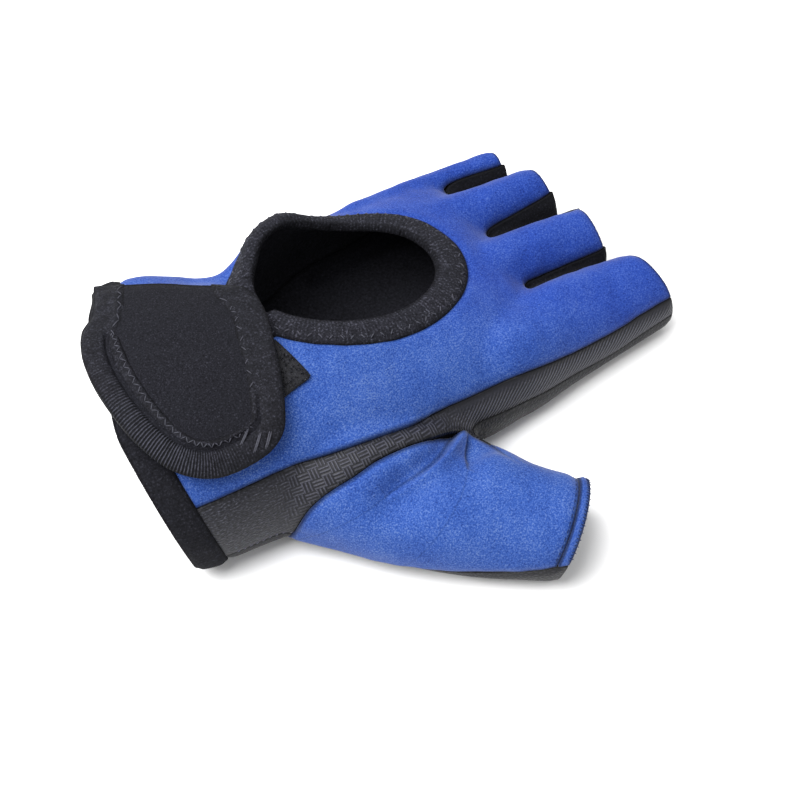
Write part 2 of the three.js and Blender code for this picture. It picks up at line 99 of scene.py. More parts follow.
# Columns: name, place, what it aims at, size, watts
LIGHTS = [
    ("key light", (-0.34, 0.12, 0.77), (0.0, 0.0, 0.0), 0.8, 14.5),
    ("fill light", (0.15, 0.55, 0.6), (0.0, 0.0, 0.0), 0.7, 0.8),
]

world = bpy.data.worlds.new("soft sky")
world.use_nodes = True
world.node_tree.nodes["Background"].inputs["Color"].default_value = (1, 1, 1, 1)
world.node_tree.nodes["Background"].inputs["Strength"].default_value = SKY_STRENGTH
scene.world = world


def add_light(name, place, aim, size, watts):
    data = bpy.data.lights.new(name, "AREA")
    data.shape = "DISK"
    data.size = size
    data.energy = watts
    light = bpy.data.objects.new(name, data)
    light.location = place
    direction = Vector(aim) - Vector(place)
    light.rotation_euler = direction.to_track_quat("-Z", "Y").to_euler()
    scene.collection.objects.link(light)


for row in LIGHTS:
    add_light(*row)

FLOOR_HALF = 3.0
floor_mesh = bpy.data.meshes.new("floor")
corners = [(-1, -1), (1, -1), (1, 1), (-1, 1)]
floor_mesh.from_pydata([(FLOOR_HALF * x, FLOOR_HALF * y, 0) for x, y in corners], [], [(0, 1, 2, 3)])
floor = bpy.data.objects.new("floor", floor_mesh)
scene.collection.objects.link(floor)
print("lights:", [row[0] for row in LIGHTS])

# %% [markdown]
# ## The form
# A filled-out glove has one rounded form, and it carries every panel. It is lofted from a few
# sections for the glove's body and for each finger, with the same tables as the CAD source.
# A column is read with a smooth curve, so a few rows give a form with no kinks.

# %% Tables of the form
# Columns: place along the limb, its two sides, bottom, height of the widest point on the thumb's
# side and on the little finger's side, top
LIMBS = {
    "body": {
        "x": 0, "y": 0, "yaw": 0, "top_power": 2.1, "bottom_power": 3.6,
        "rows": [
            (-24, -36, 35, 1.6, 15, 24, 41), (-8, -39.5, 36.5, 1, 14, 24, 42.6),
            (4, -40, 36.5, 0.6, 13, 22.5, 43), (14, -40, 33.5, 0, 12, 19, 42.5),
            (24, -40, 28.5, -0.4, 11, 16, 42), (36, -39.5, 31.5, -0.4, 10.5, 18, 41),
            (48, -39, 36, -0.4, 10, 16.5, 39), (62, -38.5, 37.3, -0.4, 9, 15, 35.5),
            (78, -37, 38.6, -0.4, 8.5, 13, 31), (89, -34, 38.8, -0.3, 8.5, 11.5, 26.5),
            (96, -31, 38, 0.4, 8.5, 11, 19),
        ],
    },
    "index": {
        "x": 80, "y": -19.5, "yaw": 0.8, "top_power": 2.1, "bottom_power": 3,
        "rows": [
            (-16, -14, 9, -0.3, 9, 12, 24), (0, -17, 11, -0.3, 8, 12, 28),
            (18, -14.5, 11, -0.3, 8, 12, 25), (36, -12.4, 10.4, 0, 8, 11, 21.5),
            (52, -10.6, 9.4, 0.5, 8, 11, 19.5),
        ],
    },
    "middle": {
        "x": 80, "y": 1.6, "yaw": 0, "top_power": 2.1, "bottom_power": 3,
        "rows": [
            (0, -10, 10.5, -0.3, 11, 11, 29), (22, -9.5, 9.5, -0.1, 10.5, 10.5, 24),
            (44, -9, 9, 0.5, 10.5, 10.5, 20.5),
        ],
    },
    "ring": {
        "x": 78, "y": 20.6, "yaw": 0, "top_power": 2.1, "bottom_power": 3,
        "rows": [
            (0, -9.5, 9.5, -0.3, 11, 11, 28), (20, -8.8, 8.3, -0.1, 10.5, 10.5, 24),
            (42, -8.4, 7.9, 0.5, 10.5, 10.5, 21),
        ],
    },
    "little": {
        "x": 64, "y": 35.8, "yaw": -0.5, "top_power": 2.1, "bottom_power": 3,
        "rows": [
            (-14, -9, -2, 0.2, 9, 12, 22), (0, -8, 0.8, 0.2, 9, 12, 26.5),
            (10, -8, 2.6, -0.2, 9, 12, 24.5), (30, -6, 4.7, 0, 9.5, 10, 19.5),
            (51, -5.4, 5.6, 0.5, 9, 9, 16.5),
        ],
    },
    "thumb": {
        "x": 72, "y": -74, "yaw": -30.5, "top_power": 2.0, "bottom_power": 2.8,
        "rows": [
            (-78, -1, 34, -0.2, 11, 12, 30), (-60, -6, 34, -0.3, 11, 12, 31),
            (-42, -10, 32, -0.3, 10.5, 12, 28.5), (-25, -11.8, 26, -0.3, 10, 12, 25.5),
            (-10, -12, 17, -0.2, 10, 11, 23.5), (10, -12.2, 11.5, 0, 10, 11, 22),
        ],
    },
}

# Folds and swells of the cloth: from one point to another, pushed in by depth, fading over width
FOLDS = {
    "thumb crease": ((62, -44, 21), (32, -53, 25), 4.0, 3.6),
    "short crease at the web": ((58, -45, 23), (52, -55, 26), 1.6, 2.6),
    "hollow behind the first web": ((84, -4, 30), (88, -14, 28), 1.6, 6.0),
    "hollow behind the second web": ((84, 12, 29), (90, 12, 26), 1.2, 5.0),
    "corner lifted by the strap": ((30, 27, 38), (40, 27, 35), -8.0, 6.0),
}


def along(rows, where, column):
    """A smooth curve through one column of a table, flat beyond its two ends."""
    table = np.asarray(rows, float)
    knots = table[:, 0]
    values = table[:, column]
    slopes = np.empty(len(knots))
    slopes[1:-1] = (values[2:] - values[:-2]) / (knots[2:] - knots[:-2])
    slopes[0] = (values[1] - values[0]) / (knots[1] - knots[0])
    slopes[-1] = (values[-1] - values[-2]) / (knots[-1] - knots[-2])
    where = np.asarray(where, float)
    i = np.clip(np.searchsorted(knots, where, side="right") - 1, 0, len(knots) - 2)
    step = knots[i + 1] - knots[i]
    t = np.clip((where - knots[i]) / step, 0, 1)
    rise = t * t * (3 - 2 * t)
    leave = t * (1 - t) ** 2 * step
    arrive = t * t * (t - 1) * step
    return values[i] + (values[i + 1] - values[i]) * rise + leave * slopes[i] + arrive * slopes[i + 1]


def line_distance(points, start, end):
    """Distance of each point from a straight stretch, and how far along it the nearest place is."""
    start = np.asarray(start, float)
    run = np.asarray(end, float) - start
    t = np.clip((points - start) @ run / (run @ run), 0, 1)
    return np.linalg.norm(points - start - t[:, None] * run, axis=1), t


def fold_depth(points, folds):
    depth = np.zeros(len(points))
    for start, end, deep, width in folds.values():
        distance, _ = line_distance(points, start, end)
        depth += deep * np.exp(-0.5 * (distance / width) ** 2)
    return depth


# %% Sections of one limb
RING_POINTS = 72
STATION = 2.5


def limb_rings(limb):
    rows = limb["rows"]
    first, last = rows[0][0], rows[-1][0]
    stations = np.linspace(first, last, int((last - first) / STATION) + 1)
    yaw = math.radians(limb["yaw"])
    angle = np.linspace(0, 2 * math.pi, RING_POINTS, endpoint=False)[None, :]
    c, s = np.cos(angle), np.sin(angle)
    power = np.where(s >= 0, limb["top_power"], limb["bottom_power"])
    side = np.sign(c) * np.abs(c) ** (2 / power)
    u0, u1, bottom, low, high, top = (along(rows, stations, k)[:, None] for k in range(1, 7))
    widest = low + (high - low) * (side + 1) / 2
    height = np.where(s >= 0, top - widest, widest - bottom)
    across = (u0 + u1) / 2 + (u1 - u0) / 2 * side
    z = widest + height * np.sign(s) * np.abs(s) ** (2 / power)
    run = stations[:, None] + 0 * across
    x = limb["x"] + run * math.cos(yaw) - across * math.sin(yaw)
    y = limb["y"] + run * math.sin(yaw) + across * math.cos(yaw)
    points = np.stack([x, y, z], axis=-1)
    middle_u = ((u0 + u1) / 2)[:, 0]
    hub = np.stack([
        limb["x"] + stations * math.cos(yaw) - middle_u * math.sin(yaw),
        limb["y"] + stations * math.sin(yaw) + middle_u * math.cos(yaw),
        ((low + high) / 2)[:, 0],
    ], axis=-1)[:, None, :]
    inward = hub - points
    inward /= np.linalg.norm(inward, axis=2, keepdims=True)
    depth = fold_depth(points.reshape(-1, 3), FOLDS).reshape(points.shape[:2])
    return points + inward * depth[..., None]


def loft(rings):
    """Points and faces of a closed loft through rings."""
    count, sides = rings.shape[:2]
    points = [tuple(p) for p in rings.reshape(-1, 3)]
    faces = []
    for r in range(count - 1):
        for k in range(sides):
            a = r * sides + k
            b = r * sides + (k + 1) % sides
            faces.append((a, b, b + sides, a + sides))
    faces.append(tuple(reversed(range(sides))))
    faces.append(tuple(range((count - 1) * sides, count * sides)))
    return points, faces


# %% [markdown]
# ## One skin from six limbs
# The limbs overlap, and the cloth runs over all of them as one skin. A voxel remesh joins closed
# forms into one even net of small squares. Relaxing the net rounds the valleys between the limbs,
# the way stretched cloth bridges them.

# %% Join the limbs into one skin
VOXEL = 0.75
RELAX_ROUNDS = 14


def even_skin(limbs):
    points, faces = [], []
    for limb in limbs:
        more_points, more_faces = loft(limb_rings(LIMBS[limb]))
        base = len(points)
        points += more_points
        faces += [tuple(base + i for i in face) for face in more_faces]
    mesh = bpy.data.meshes.new("limbs")
    mesh.from_pydata(points, [], faces)
    rough = bpy.data.objects.new("limbs", mesh)
    scene.collection.objects.link(rough)
    remesh = rough.modifiers.new("even net", "REMESH")
    remesh.mode = "VOXEL"
    remesh.voxel_size = VOXEL
    net = rough.evaluated_get(bpy.context.evaluated_depsgraph_get()).to_mesh()
    net.calc_loop_triangles()
    places = np.empty(len(net.vertices) * 3)
    net.vertices.foreach_get("co", places)
    triangles = np.empty(len(net.loop_triangles) * 3, int)
    net.loop_triangles.foreach_get("vertices", triangles)
    bpy.data.objects.remove(rough)
    return places.reshape(-1, 3), triangles.reshape(-1, 3)


def relaxed(points, triangles, rounds, amount=0.5, held=None):
    """Moves every point towards the mean of its neighbours, several times."""
    pairs = np.concatenate([triangles[:, [0, 1]], triangles[:, [1, 2]], triangles[:, [2, 0]]])
    pairs = np.unique(np.sort(pairs, axis=1), axis=0)
    ends = np.concatenate([pairs[:, 0], pairs[:, 1]])
    others = np.concatenate([pairs[:, 1], pairs[:, 0]])
    count = np.maximum(np.bincount(ends, minlength=len(points)), 1)[:, None]
    points = points.copy()
    for _ in range(rounds):
        mean = np.stack([
            np.bincount(ends, weights=points[others, k], minlength=len(points)) for k in range(3)
        ], axis=1) / count
        move = (mean - points) * amount
        if held is not None:
            move[held] = 0
        points += move
    return points


def normals_of(points, triangles):
    a, b, c = (points[triangles[:, k]] for k in range(3))
    face = np.cross(b - a, c - a)
    total = np.stack([
        sum(np.bincount(triangles[:, k], weights=face[:, axis], minlength=len(points)) for k in range(3))
        for axis in range(3)
    ], axis=1)
    return total / np.maximum(np.linalg.norm(total, axis=1, keepdims=True), 1e-12)


skin_points, skin_triangles = even_skin(LIMBS)
skin_points = relaxed(skin_points, skin_triangles, RELAX_ROUNDS)
print("skin:", len(skin_points), "points,", len(skin_triangles), "triangles")

# %% [markdown]
# ## Seams
# A pattern cutter draws seams, and each panel is what lies between them. Here a seam is a function
# that gives, for each point of the skin, its distance inside the panel. Where it is negative the
# cloth is cut away. Distances along a seam are kept as well, for ribs and stitches.

# %% Tables of the seams
# Columns: x, height of the upper seam up the tilted board, height of the lower seam above the
# floor, height of the seam on the little finger's side
SEAMS = [
    (-60, -8, 10.5, 7), (5, -7.6, 10, 7), (21, -8, 10, 6.5), (37, -9.2, 12, 6), (49, -10.8, 15, 6),
    (64, -11.9, 15.2, 6), (80, -12.4, 12.2, 6), (97, -13.8, 9.2, 6), (111, -13.6, 7, 6),
    (121, -12.6, 8.2, 6), (150, -11.2, 9.5, 6),
]
SIDE_Y = 45.0
LITTLE_Y = 28.0
THUMB_TILT = math.radians(40)
THUMB_SEAM = [
    (5, -36), (9.5, -26.5), (13, -20.9), (17, -17.9), (21.5, -16.2), (27.5, -15), (34, -13.8),
    (43.5, -14), (53, -15.7), (59, -17.9), (62.5, -21), (67, -27), (74, -29.5),
]
THUMB_RIDGE = {"x": 64.5, "y": -44.5, "z": 14}
# Height of the thumb's leather by distance out along -Y: it shows more towards the thumb's end
THUMB_SOLE = [(45, 4.0), (54, 4.3), (66, 6.4), (74, 9.0), (79, 11.0), (83, 13.5)]
THUMB_END = {"place": (70.5, -75, 12), "yaw": math.radians(-40.4), "lean": math.radians(13), "half": 30}
# Columns: x, y, turn in degrees, and the lane of the finger
FINGER_ENDS = [
    (127.7, -20, 17, -60, -8.3), (122, 1.6, 4, -8.3, 11.2), (117.5, 20.4, 9, 11.2, 29.2),
    (113, 35, 5, 29.2, 70),
]
# Columns: name, x where it starts, its height there and at the fingers' ends, its lane
WEBS = [
    ("fourchette_index_middle", 96.5, 17.5, 15.8, -19, 1.6),
    ("fourchette_middle_ring", 94.5, 17.5, 19, 1.6, 20.6),
    ("fourchette_ring_little", 88, 18.8, 14.8, 20.6, 35.3),
]
WEB_BOTTOM = 5.0
WEB_THROAT = 4.0
WEB_END = 120.0
KEYHOLE = {"x": 51, "y": 6.9, "along": 24.2, "across": 17.1, "turn": math.radians(-6)}
KEYHOLE_RIM = {"x": 51.2, "y": 6.2, "along": 31.3, "across": 22.8, "turn": math.radians(-6)}
SLIT = {"to": 32, "low": 1.6, "high": 6.0, "tape": 7.2}
TOP_LEVEL = 16.0
CUFF = [(-160, -15.7), (-16, -15.7), (0, -12), (12, -10), (22, -8.5), (32, -5), (160, -1)]
CUFF_LEAN = {"slope": 0.2, "level": 15}
TAPE_WIDTH = 7.6
HEM_WIDTH = 2.3
FAR = 160.0


# %% Distances from outlines
def sampled(points, count):
    """A smooth line through points, sampled evenly by number."""
    points = np.asarray(points, float)
    places = np.linspace(0, len(points) - 1, count)
    rows = np.column_stack([np.arange(len(points)), points])
    return np.stack([along(rows, places, k) for k in range(1, rows.shape[1])], axis=1)


def nearest_on_line(flat, line):
    """Distance to a drawn line, distance run along it, and which side, for points on a board."""
    starts, ends = line[:-1], line[1:]
    runs = ends - starts
    lengths = np.linalg.norm(runs, axis=1)
    before = np.concatenate([[0], np.cumsum(lengths)[:-1]])
    best = np.full(len(flat), np.inf)
    ran = np.zeros(len(flat))
    side = np.ones(len(flat))
    for start, run, length, done in zip(starts, runs, lengths, before):
        away_from = flat - start
        t = np.clip(away_from @ run / length**2, 0, 1)
        offset = away_from - t[:, None] * run
        distance = np.hypot(offset[:, 0], offset[:, 1])
        nearer = distance < best
        best[nearer] = distance[nearer]
        ran[nearer] = done + t[nearer] * length
        turn = run[0] * away_from[:, 1] - run[1] * away_from[:, 0]
        side[nearer] = np.sign(turn[nearer])
    return best, ran, side


def on_board(points, tilt):
    """Place on a board tilted about X: x along the glove and q up the board."""
    return np.stack([points[:, 0], points[:, 1] * math.cos(tilt) + points[:, 2] * math.sin(tilt)], axis=1)


def ellipse_distance(points, oval):
    """About how far inside an oval on the level board a point lies."""
    dx = points[:, 0] - oval["x"]
    dy = points[:, 1] - oval["y"]
    u = dx * math.cos(oval["turn"]) + dy * math.sin(oval["turn"])
    v = dy * math.cos(oval["turn"]) - dx * math.sin(oval["turn"])
    size = np.hypot(u / oval["along"], v / oval["across"]) + 1e-9
    slope = np.hypot(u / oval["along"] ** 2, v / oval["across"] ** 2) / size + 1e-9
    return (1 - size) / slope


# %% The glove's seams as distances
# The tilted board serves up to this y, and its corner lies this deep behind the upper seam
BOARD_TO_Y = -12
BOARD_DEPTH = 25
FINGERS_FROM_X = 90


def above_upper(points):
    x, y, z = points.T
    c, s = math.cos(THUMB_TILT), math.sin(THUMB_TILT)
    upper = along(SEAMS, x, 1)
    little = along(SEAMS, x, 3)
    board = y * c + z * s - upper
    corner_y = upper * c - BOARD_DEPTH * s
    corner_z = upper * s + BOARD_DEPTH * c
    slant = corner_z + (little - corner_z) * np.clip((y - corner_y) / (LITTLE_Y - corner_y), 0, 1)
    return np.where(y < BOARD_TO_Y, board, z - slant)


def above_lower(points):
    x, y, z = points.T
    lower = along(SEAMS, x, 2)
    little = along(SEAMS, x, 3)
    share = np.clip((y + SIDE_Y) / (SIDE_Y + LITTLE_Y), 0, 1)
    return z - lower - (little - lower) * share


def in_thumb(points):
    """Below the thumb's seam on the tilted board, and on the ridge where the thumb leaves the palm."""
    board = on_board(points, THUMB_TILT)
    distance, _, side = nearest_on_line(board, thumb_seam_line)
    x, y, z = points.T
    ridge = np.min([x - THUMB_RIDGE["x"], THUMB_RIDGE["y"] - y, z - THUMB_RIDGE["z"]], axis=0)
    return np.maximum(-distance * side, ridge)


def above_sole(points):
    return points[:, 2] - along(THUMB_SOLE, -points[:, 1], 1)


def in_web(web):
    _, start, top, top_at_end, lane_from, lane_to = web

    def distance(points):
        x, y, z = points.T
        share = np.clip((x - start) / (WEB_END - start), 0, 1)
        roof = top + (top_at_end - top) * share - np.clip(start - x, 0, None)
        parts = [x - (start - WEB_THROAT), z - WEB_BOTTOM, roof - z, y - lane_from, lane_to - y]
        return np.min(parts, axis=0)

    return distance


def in_keyhole(oval, tape):
    def distance(points):
        slit = np.min([
            SLIT["to"] - points[:, 0],
            points[:, 1] - SLIT["low"] + tape,
            SLIT["high"] + tape - points[:, 1],
        ], axis=0)
        return np.minimum(np.maximum(ellipse_distance(points, oval), slit), points[:, 2] - TOP_LEVEL)

    return distance


def past_cuff(points):
    lean = CUFF_LEAN["slope"] * (points[:, 2] - CUFF_LEAN["level"])
    return points[:, 0] + lean - along([(y, x) for y, x in CUFF], points[:, 1], 1)


def before_thumb_end(points):
    yaw, lean = THUMB_END["yaw"], THUMB_END["lean"]
    away_from = points - np.array(THUMB_END["place"], float)
    run = away_from[:, 0] * math.cos(yaw) + away_from[:, 1] * math.sin(yaw)
    across = away_from[:, 1] * math.cos(yaw) - away_from[:, 0] * math.sin(yaw)
    past = run * math.cos(lean) - away_from[:, 2] * math.sin(lean)
    return np.where(np.abs(across) < THUMB_END["half"], -past, FAR)


def before_finger_ends(points):
    x, y, _ = points.T
    inside = np.full(len(points), FAR)
    for end_x, end_y, turn, lane_from, lane_to in FINGER_ENDS:
        angle = math.radians(turn)
        past = (x - end_x) * math.cos(angle) + (y - end_y) * math.sin(angle)
        lane = (y >= lane_from) & (y < lane_to) & (x > FINGERS_FROM_X)
        inside = np.where(lane, -past, inside)
    return inside


def outside(distance):
    return lambda points: -distance(points)


thumb_seam_line = np.concatenate([[(5, -FAR)], sampled(THUMB_SEAM, 90), [(FAR, -31)]])
keyhole_edge = in_keyhole(KEYHOLE, 0)
keyhole_rim = in_keyhole(KEYHOLE_RIM, SLIT["tape"])
webs = [in_web(web) for web in WEBS]
print("seams drawn:", 4 + len(webs))

# %% [markdown]
# ## Where the cloth stands high or dips
# Cloth over a finger bridges to the next one, so its top is fuller than the form. The strap pulls
# the keyhole's far corner back and up, and the tape there stands almost on edge. Both are gentle
# moves of the finished skin, so every panel that is cut from it follows them.

# %% Lift the skin
# Where the cloth stands high, or dips: a line, the height added, and how wide it fades
LIFTS = {
    "far rim of the keyhole": ((34, 24, 38), (52, 27, 36), 2.6, 8.0),
    "dip between strap and keyhole": ((17, 27, 39), (26, 22, 41), -4.8, 5.0),
    "back behind the strap": ((-4, 34, 33), (12, 34, 33), 1.8, 5.5),
    "index finger": ((100, -14, 26), (127, -16, 20), 2.2, 7.0),
    "middle finger": ((108, 3, 23), (122, 4, 20), 0.9, 5.0),
    "ring finger": ((104, 21, 24), (117, 22, 20), 0.9, 5.0),
    "little finger": ((84, 38, 24), (112, 36, 17), 0.9, 5.0),
}


def lifted(points):
    raised = points.copy()
    for start, end, height, width in LIFTS.values():
        distance, _ = line_distance(points, start, end)
        raised[:, 2] += height * np.exp(-((distance / width) ** 2))
    return raised


# The strap pulls the keyhole's far corner back and up, so its tape stands almost on edge
RIM_TILT = {"x": 34.5, "along": 13, "height": 3.8, "back": 1.5, "fade": 8.0, "from_y": 6, "to_y": 16}


def tilted_rim(points):
    """Raises the skin near the keyhole's far edge, most at the edge itself."""
    near = np.clip(1 + in_keyhole(KEYHOLE, 0)(points) / RIM_TILT["fade"], 0, 1)
    side = np.clip((points[:, 1] - RIM_TILT["from_y"]) / (RIM_TILT["to_y"] - RIM_TILT["from_y"]), 0, 1)
    share = np.exp(-(((points[:, 0] - RIM_TILT["x"]) / RIM_TILT["along"]) ** 2))
    share *= near**2 * (3 - 2 * near) * side**2 * (3 - 2 * side) * (points[:, 2] > TOP_LEVEL)
    return points + share[:, None] * np.array([-RIM_TILT["back"], 0, RIM_TILT["height"]])


skin_points = tilted_rim(lifted(skin_points))
skin_normals = relaxed(normals_of(skin_points, skin_triangles), skin_triangles, 4)
skin_normals /= np.linalg.norm(skin_normals, axis=1, keepdims=True)
print("skin is now", [round(float(v), 1) for v in np.ptp(skin_points, axis=0)], "mm")

# %% [markdown]
# ## Cutting and thickness
# Scissors cut exactly on the line, so a triangle that a seam crosses is split there. A cut panel
# then gets its thickness along the skin's normals, and its edge is rounded over like pressed foam.

# %% Cut a net along a seam
def cut(rows, triangles, inside):
    """Keeps the part of a net where inside is positive. Rows hold place and normal."""
    kept = inside > 0
    count = kept[triangles].sum(axis=1)
    whole = triangles[count == 3]
    one = triangles[count == 1]
    two = triangles[count == 2]
    turn = np.arange(3)[None, :]
    one = np.take_along_axis(one, (np.argmax(kept[one], axis=1)[:, None] + turn) % 3, axis=1)
    two = np.take_along_axis(two, (np.argmin(kept[two], axis=1)[:, None] + turn) % 3, axis=1)
    crossed = np.concatenate([one[:, [0, 1]], one[:, [0, 2]], two[:, [0, 1]], two[:, [0, 2]]])
    keys = np.sort(crossed, axis=1)
    pairs, index = np.unique(keys, axis=0, return_inverse=True)
    index = index.reshape(-1) + len(rows)
    a, b = pairs[:, 0], pairs[:, 1]
    t = (inside[a] / (inside[a] - inside[b]))[:, None]
    new_rows = rows[a] + (rows[b] - rows[a]) * t
    n1, n2 = len(one), len(two)
    ab, ac = index[:n1], index[n1:2 * n1]
    ob, oc = index[2 * n1:2 * n1 + n2], index[2 * n1 + n2:]
    made = [
        whole,
        np.stack([one[:, 0], ab, ac], axis=1),
        np.stack([two[:, 1], two[:, 2], oc], axis=1),
        np.stack([two[:, 1], oc, ob], axis=1),
    ]
    return packed(np.concatenate([rows, new_rows]), np.concatenate(made))


def packed(rows, triangles):
    used, index = np.unique(triangles, return_inverse=True)
    return rows[used], index.reshape(-1, 3)


def largest_part(rows, triangles):
    """The largest piece of cloth, without the offcuts."""
    label = np.arange(len(rows))
    while True:
        low = label[triangles].min(axis=1)
        new = label.copy()
        for k in range(3):
            np.minimum.at(new, triangles[:, k], low)
        new = new[new]
        if np.array_equal(new, label):
            break
        label = new
    face_label = label[triangles[:, 0]]
    names, counts = np.unique(face_label, return_counts=True)
    return packed(rows, triangles[face_label == names[np.argmax(counts)]])


def panel_net(knives, margin, points=None, normals=None, triangles=None):
    """Cuts the skin by several knives, each moved inwards by a margin."""
    if points is None:
        points, normals, triangles = skin_points, skin_normals, skin_triangles
    rows = np.hstack([points, normals])
    for knife in knives:
        rows, triangles = cut(rows, triangles, knife(rows[:, :3]) - margin)
    rows, triangles = largest_part(rows, triangles)
    rows, triangles = welded(rows, triangles, 0.12)
    inset = np.min([knife(rows[:, :3]) for knife in knives], axis=0) - margin
    normals = rows[:, 3:] / np.linalg.norm(rows[:, 3:], axis=1, keepdims=True)
    return rows[:, :3], normals, triangles, np.maximum(inset, 0)


def welded(rows, triangles, near):
    """Joins points that a cut has left nearly on top of each other."""
    cells = np.round(rows[:, :3] / near).astype(int)
    _, first, index = np.unique(cells, axis=0, return_index=True, return_inverse=True)
    triangles = index.reshape(-1)[triangles]
    a, b, c = triangles.T
    triangles = triangles[(a != b) & (b != c) & (c != a)]
    return packed(rows[first], triangles)


# %% A finer net where the cloth has small forms
def finer(points, normals, triangles):
    """Splits every triangle in four."""
    pairs = np.concatenate([triangles[:, [0, 1]], triangles[:, [1, 2]], triangles[:, [2, 0]]])
    unique, index = np.unique(np.sort(pairs, axis=1), axis=0, return_inverse=True)
    ab, bc, ca = index.reshape(3, -1) + len(points)
    a, b, c = triangles.T
    rows = np.hstack([points, normals])
    rows = np.concatenate([rows, rows[unique].mean(axis=1)])
    split = [(a, ab, ca), (ab, b, bc), (ca, bc, c), (ab, bc, ca)]
    return rows[:, :3], rows[:, 3:], np.concatenate([np.stack(corner, axis=1) for corner in split])


# %% Give a panel its thickness
EDGE_STEPS = 6


def thick_panel(points, normals, triangles, rise, depth, round_over):
    """Outer face, rounded edge and inner face, with the number of the first inner triangle and the
    row of the net that each point came from."""
    count = len(points)
    rise = rise * np.ones(count)
    depth = depth * np.ones(count)
    directed = np.concatenate([triangles[:, [0, 1]], triangles[:, [1, 2]], triangles[:, [2, 0]]])
    key = directed[:, 0] * count + directed[:, 1]
    back = directed[:, 1] * count + directed[:, 0]
    edge = directed[~np.isin(key, back)]
    run = points[edge[:, 1]] - points[edge[:, 0]]
    run /= np.maximum(np.linalg.norm(run, axis=1, keepdims=True), 1e-9)
    out = np.zeros((count, 3))
    for k in range(2):
        np.add.at(out, edge[:, k], np.cross(run, normals[edge[:, k]]))
    out /= np.maximum(np.linalg.norm(out, axis=1, keepdims=True), 1e-9)
    rim = np.unique(edge)
    place_in_rim = np.full(count, -1)
    place_in_rim[rim] = np.arange(len(rim))
    middle = (rise[rim] - depth[rim]) / 2
    half = (rise[rim] + depth[rim]) / 2
    layers = [points + normals * rise[:, None], points - normals * depth[:, None]]
    ring_starts = []
    start = 2 * count
    for step in range(1, EDGE_STEPS):
        angle = math.pi / 2 - math.pi * step / EDGE_STEPS
        layers.append(
            points[rim]
            + normals[rim] * (middle + half * math.sin(angle))[:, None]
            + out[rim] * (round_over * math.cos(angle))
        )
        ring_starts.append(start)
        start += len(rim)
    rings = [edge] + [base + place_in_rim[edge] for base in ring_starts] + [count + edge]
    strips = []
    for upper, lower in zip(rings[:-1], rings[1:]):
        strips.append(np.stack([upper[:, 1], upper[:, 0], lower[:, 0]], axis=1))
        strips.append(np.stack([upper[:, 1], lower[:, 0], lower[:, 1]], axis=1))
    source = np.concatenate([np.arange(count), np.arange(count)] + [rim] * (EDGE_STEPS - 1))
    outer = np.concatenate([triangles] + strips[:EDGE_STEPS])
    inner = np.concatenate(strips[EDGE_STEPS:] + [triangles[:, ::-1] + count])
    return np.concatenate(layers), np.concatenate([outer, inner]), len(outer), source


# %% [markdown]
# ## Turning arrays into Blender pieces
# A piece is one object, with smooth shading, a flat map in millimetres for woven finishes, and the
# distance from its edge as an attribute, which sets the painted shade that darkens the cloth along a
# seam. It rides on the root body and stands for its CAD node.

# %% Make a piece
made_pieces = {}


def make_piece(name, points, triangles, materials, nodes, inner_from=None, flat=None, edge=None):
    mesh = bpy.data.meshes.new(name)
    places = to_row(points)
    places[:, 2] = np.maximum(places[:, 2], 0)
    mesh.vertices.add(len(places))
    mesh.vertices.foreach_set("co", places.astype(np.float32).ravel())
    mesh.loops.add(len(triangles) * 3)
    mesh.loops.foreach_set("vertex_index", triangles.astype(np.int32).ravel())
    mesh.polygons.add(len(triangles))
    mesh.polygons.foreach_set("loop_start", np.arange(0, 3 * len(triangles), 3, dtype=np.int32))
    for material in materials:
        mesh.materials.append(material)
    if inner_from is not None:
        index = (np.arange(len(triangles)) >= inner_from).astype(np.int32)
        mesh.polygons.foreach_set("material_index", index)
    mesh.update()
    mesh.validate()
    mesh.shade_smooth()
    if flat is not None:
        layer = mesh.uv_layers.new(name="flat")
        layer.data.foreach_set("uv", flat[triangles.ravel()].astype(np.float32).ravel())
    if edge is not None:
        attribute = mesh.attributes.new("edge", "FLOAT", "POINT")
        attribute.data.foreach_set("value", edge.astype(np.float32))
    piece = bpy.data.objects.new(name, mesh)
    scene.collection.objects.link(piece)
    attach(piece, "root")
    if nodes:
        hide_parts(*nodes)
    made_pieces[name] = piece
    print(name, "has", len(triangles), "triangles")
    return piece


# %% Cut, thicken and place a panel
SEAM_MARGIN = 0.35
SEAM_MEET = 0.05
LEAST_CLOTH = 0.8
nets = {}


def sewn_panel(node, cloth, knives, materials, rise=0.0, depth=2.3, puff=0.5, puff_width=1.4,
               margin=SEAM_MARGIN, flat=None, relief=None, source=None, crease_shade_distance=None):
    """Makes the piece that stands for one CAD node. rise and depth are its two faces' distances from
    the skin, puff is how far the stitching pulls its edge down, and relief adds more height. The
    inner face gives way where the outer one is pressed deep, so the cloth keeps a thickness. A
    crease_shade_distance lets the painted shade darken the cloth along a crease as it does along a seam."""
    net = panel_net(knives, margin) if source is None else panel_net(knives, margin, *source)
    points, normals, triangles, inset = net
    height = rise - puff * np.exp(-((inset / puff_width) ** 2))
    if relief is not None:
        height = height + relief(points, inset)
        depth = np.maximum(depth, LEAST_CLOTH - height)
    # Painted shade: a crease counts as a near edge, so the seam's painted shade darkens it too.
    if crease_shade_distance is not None:
        inset = np.minimum(inset, crease_shade_distance(points))
    solid, faces, inner_from, origin = thick_panel(
        points, normals, triangles, height, depth, margin + SEAM_MEET
    )
    chart = None if flat is None else flat(points)[origin]
    name = node + "_" + cloth
    nets[name] = (points, normals, triangles, height)
    return make_piece(name, solid, faces, materials, [node], inner_from, chart, inset[origin])


# %% [markdown]
# ## Stitches
# Thread is a short capsule that lies on the cloth with both ends pulled in. A row of them follows
# a line at a steady distance from an edge, found on the finished net, and stepped off evenly.

# %% Rows of stitches
CAPSULE_SIDES = 6
CAPSULE_RINGS = 7


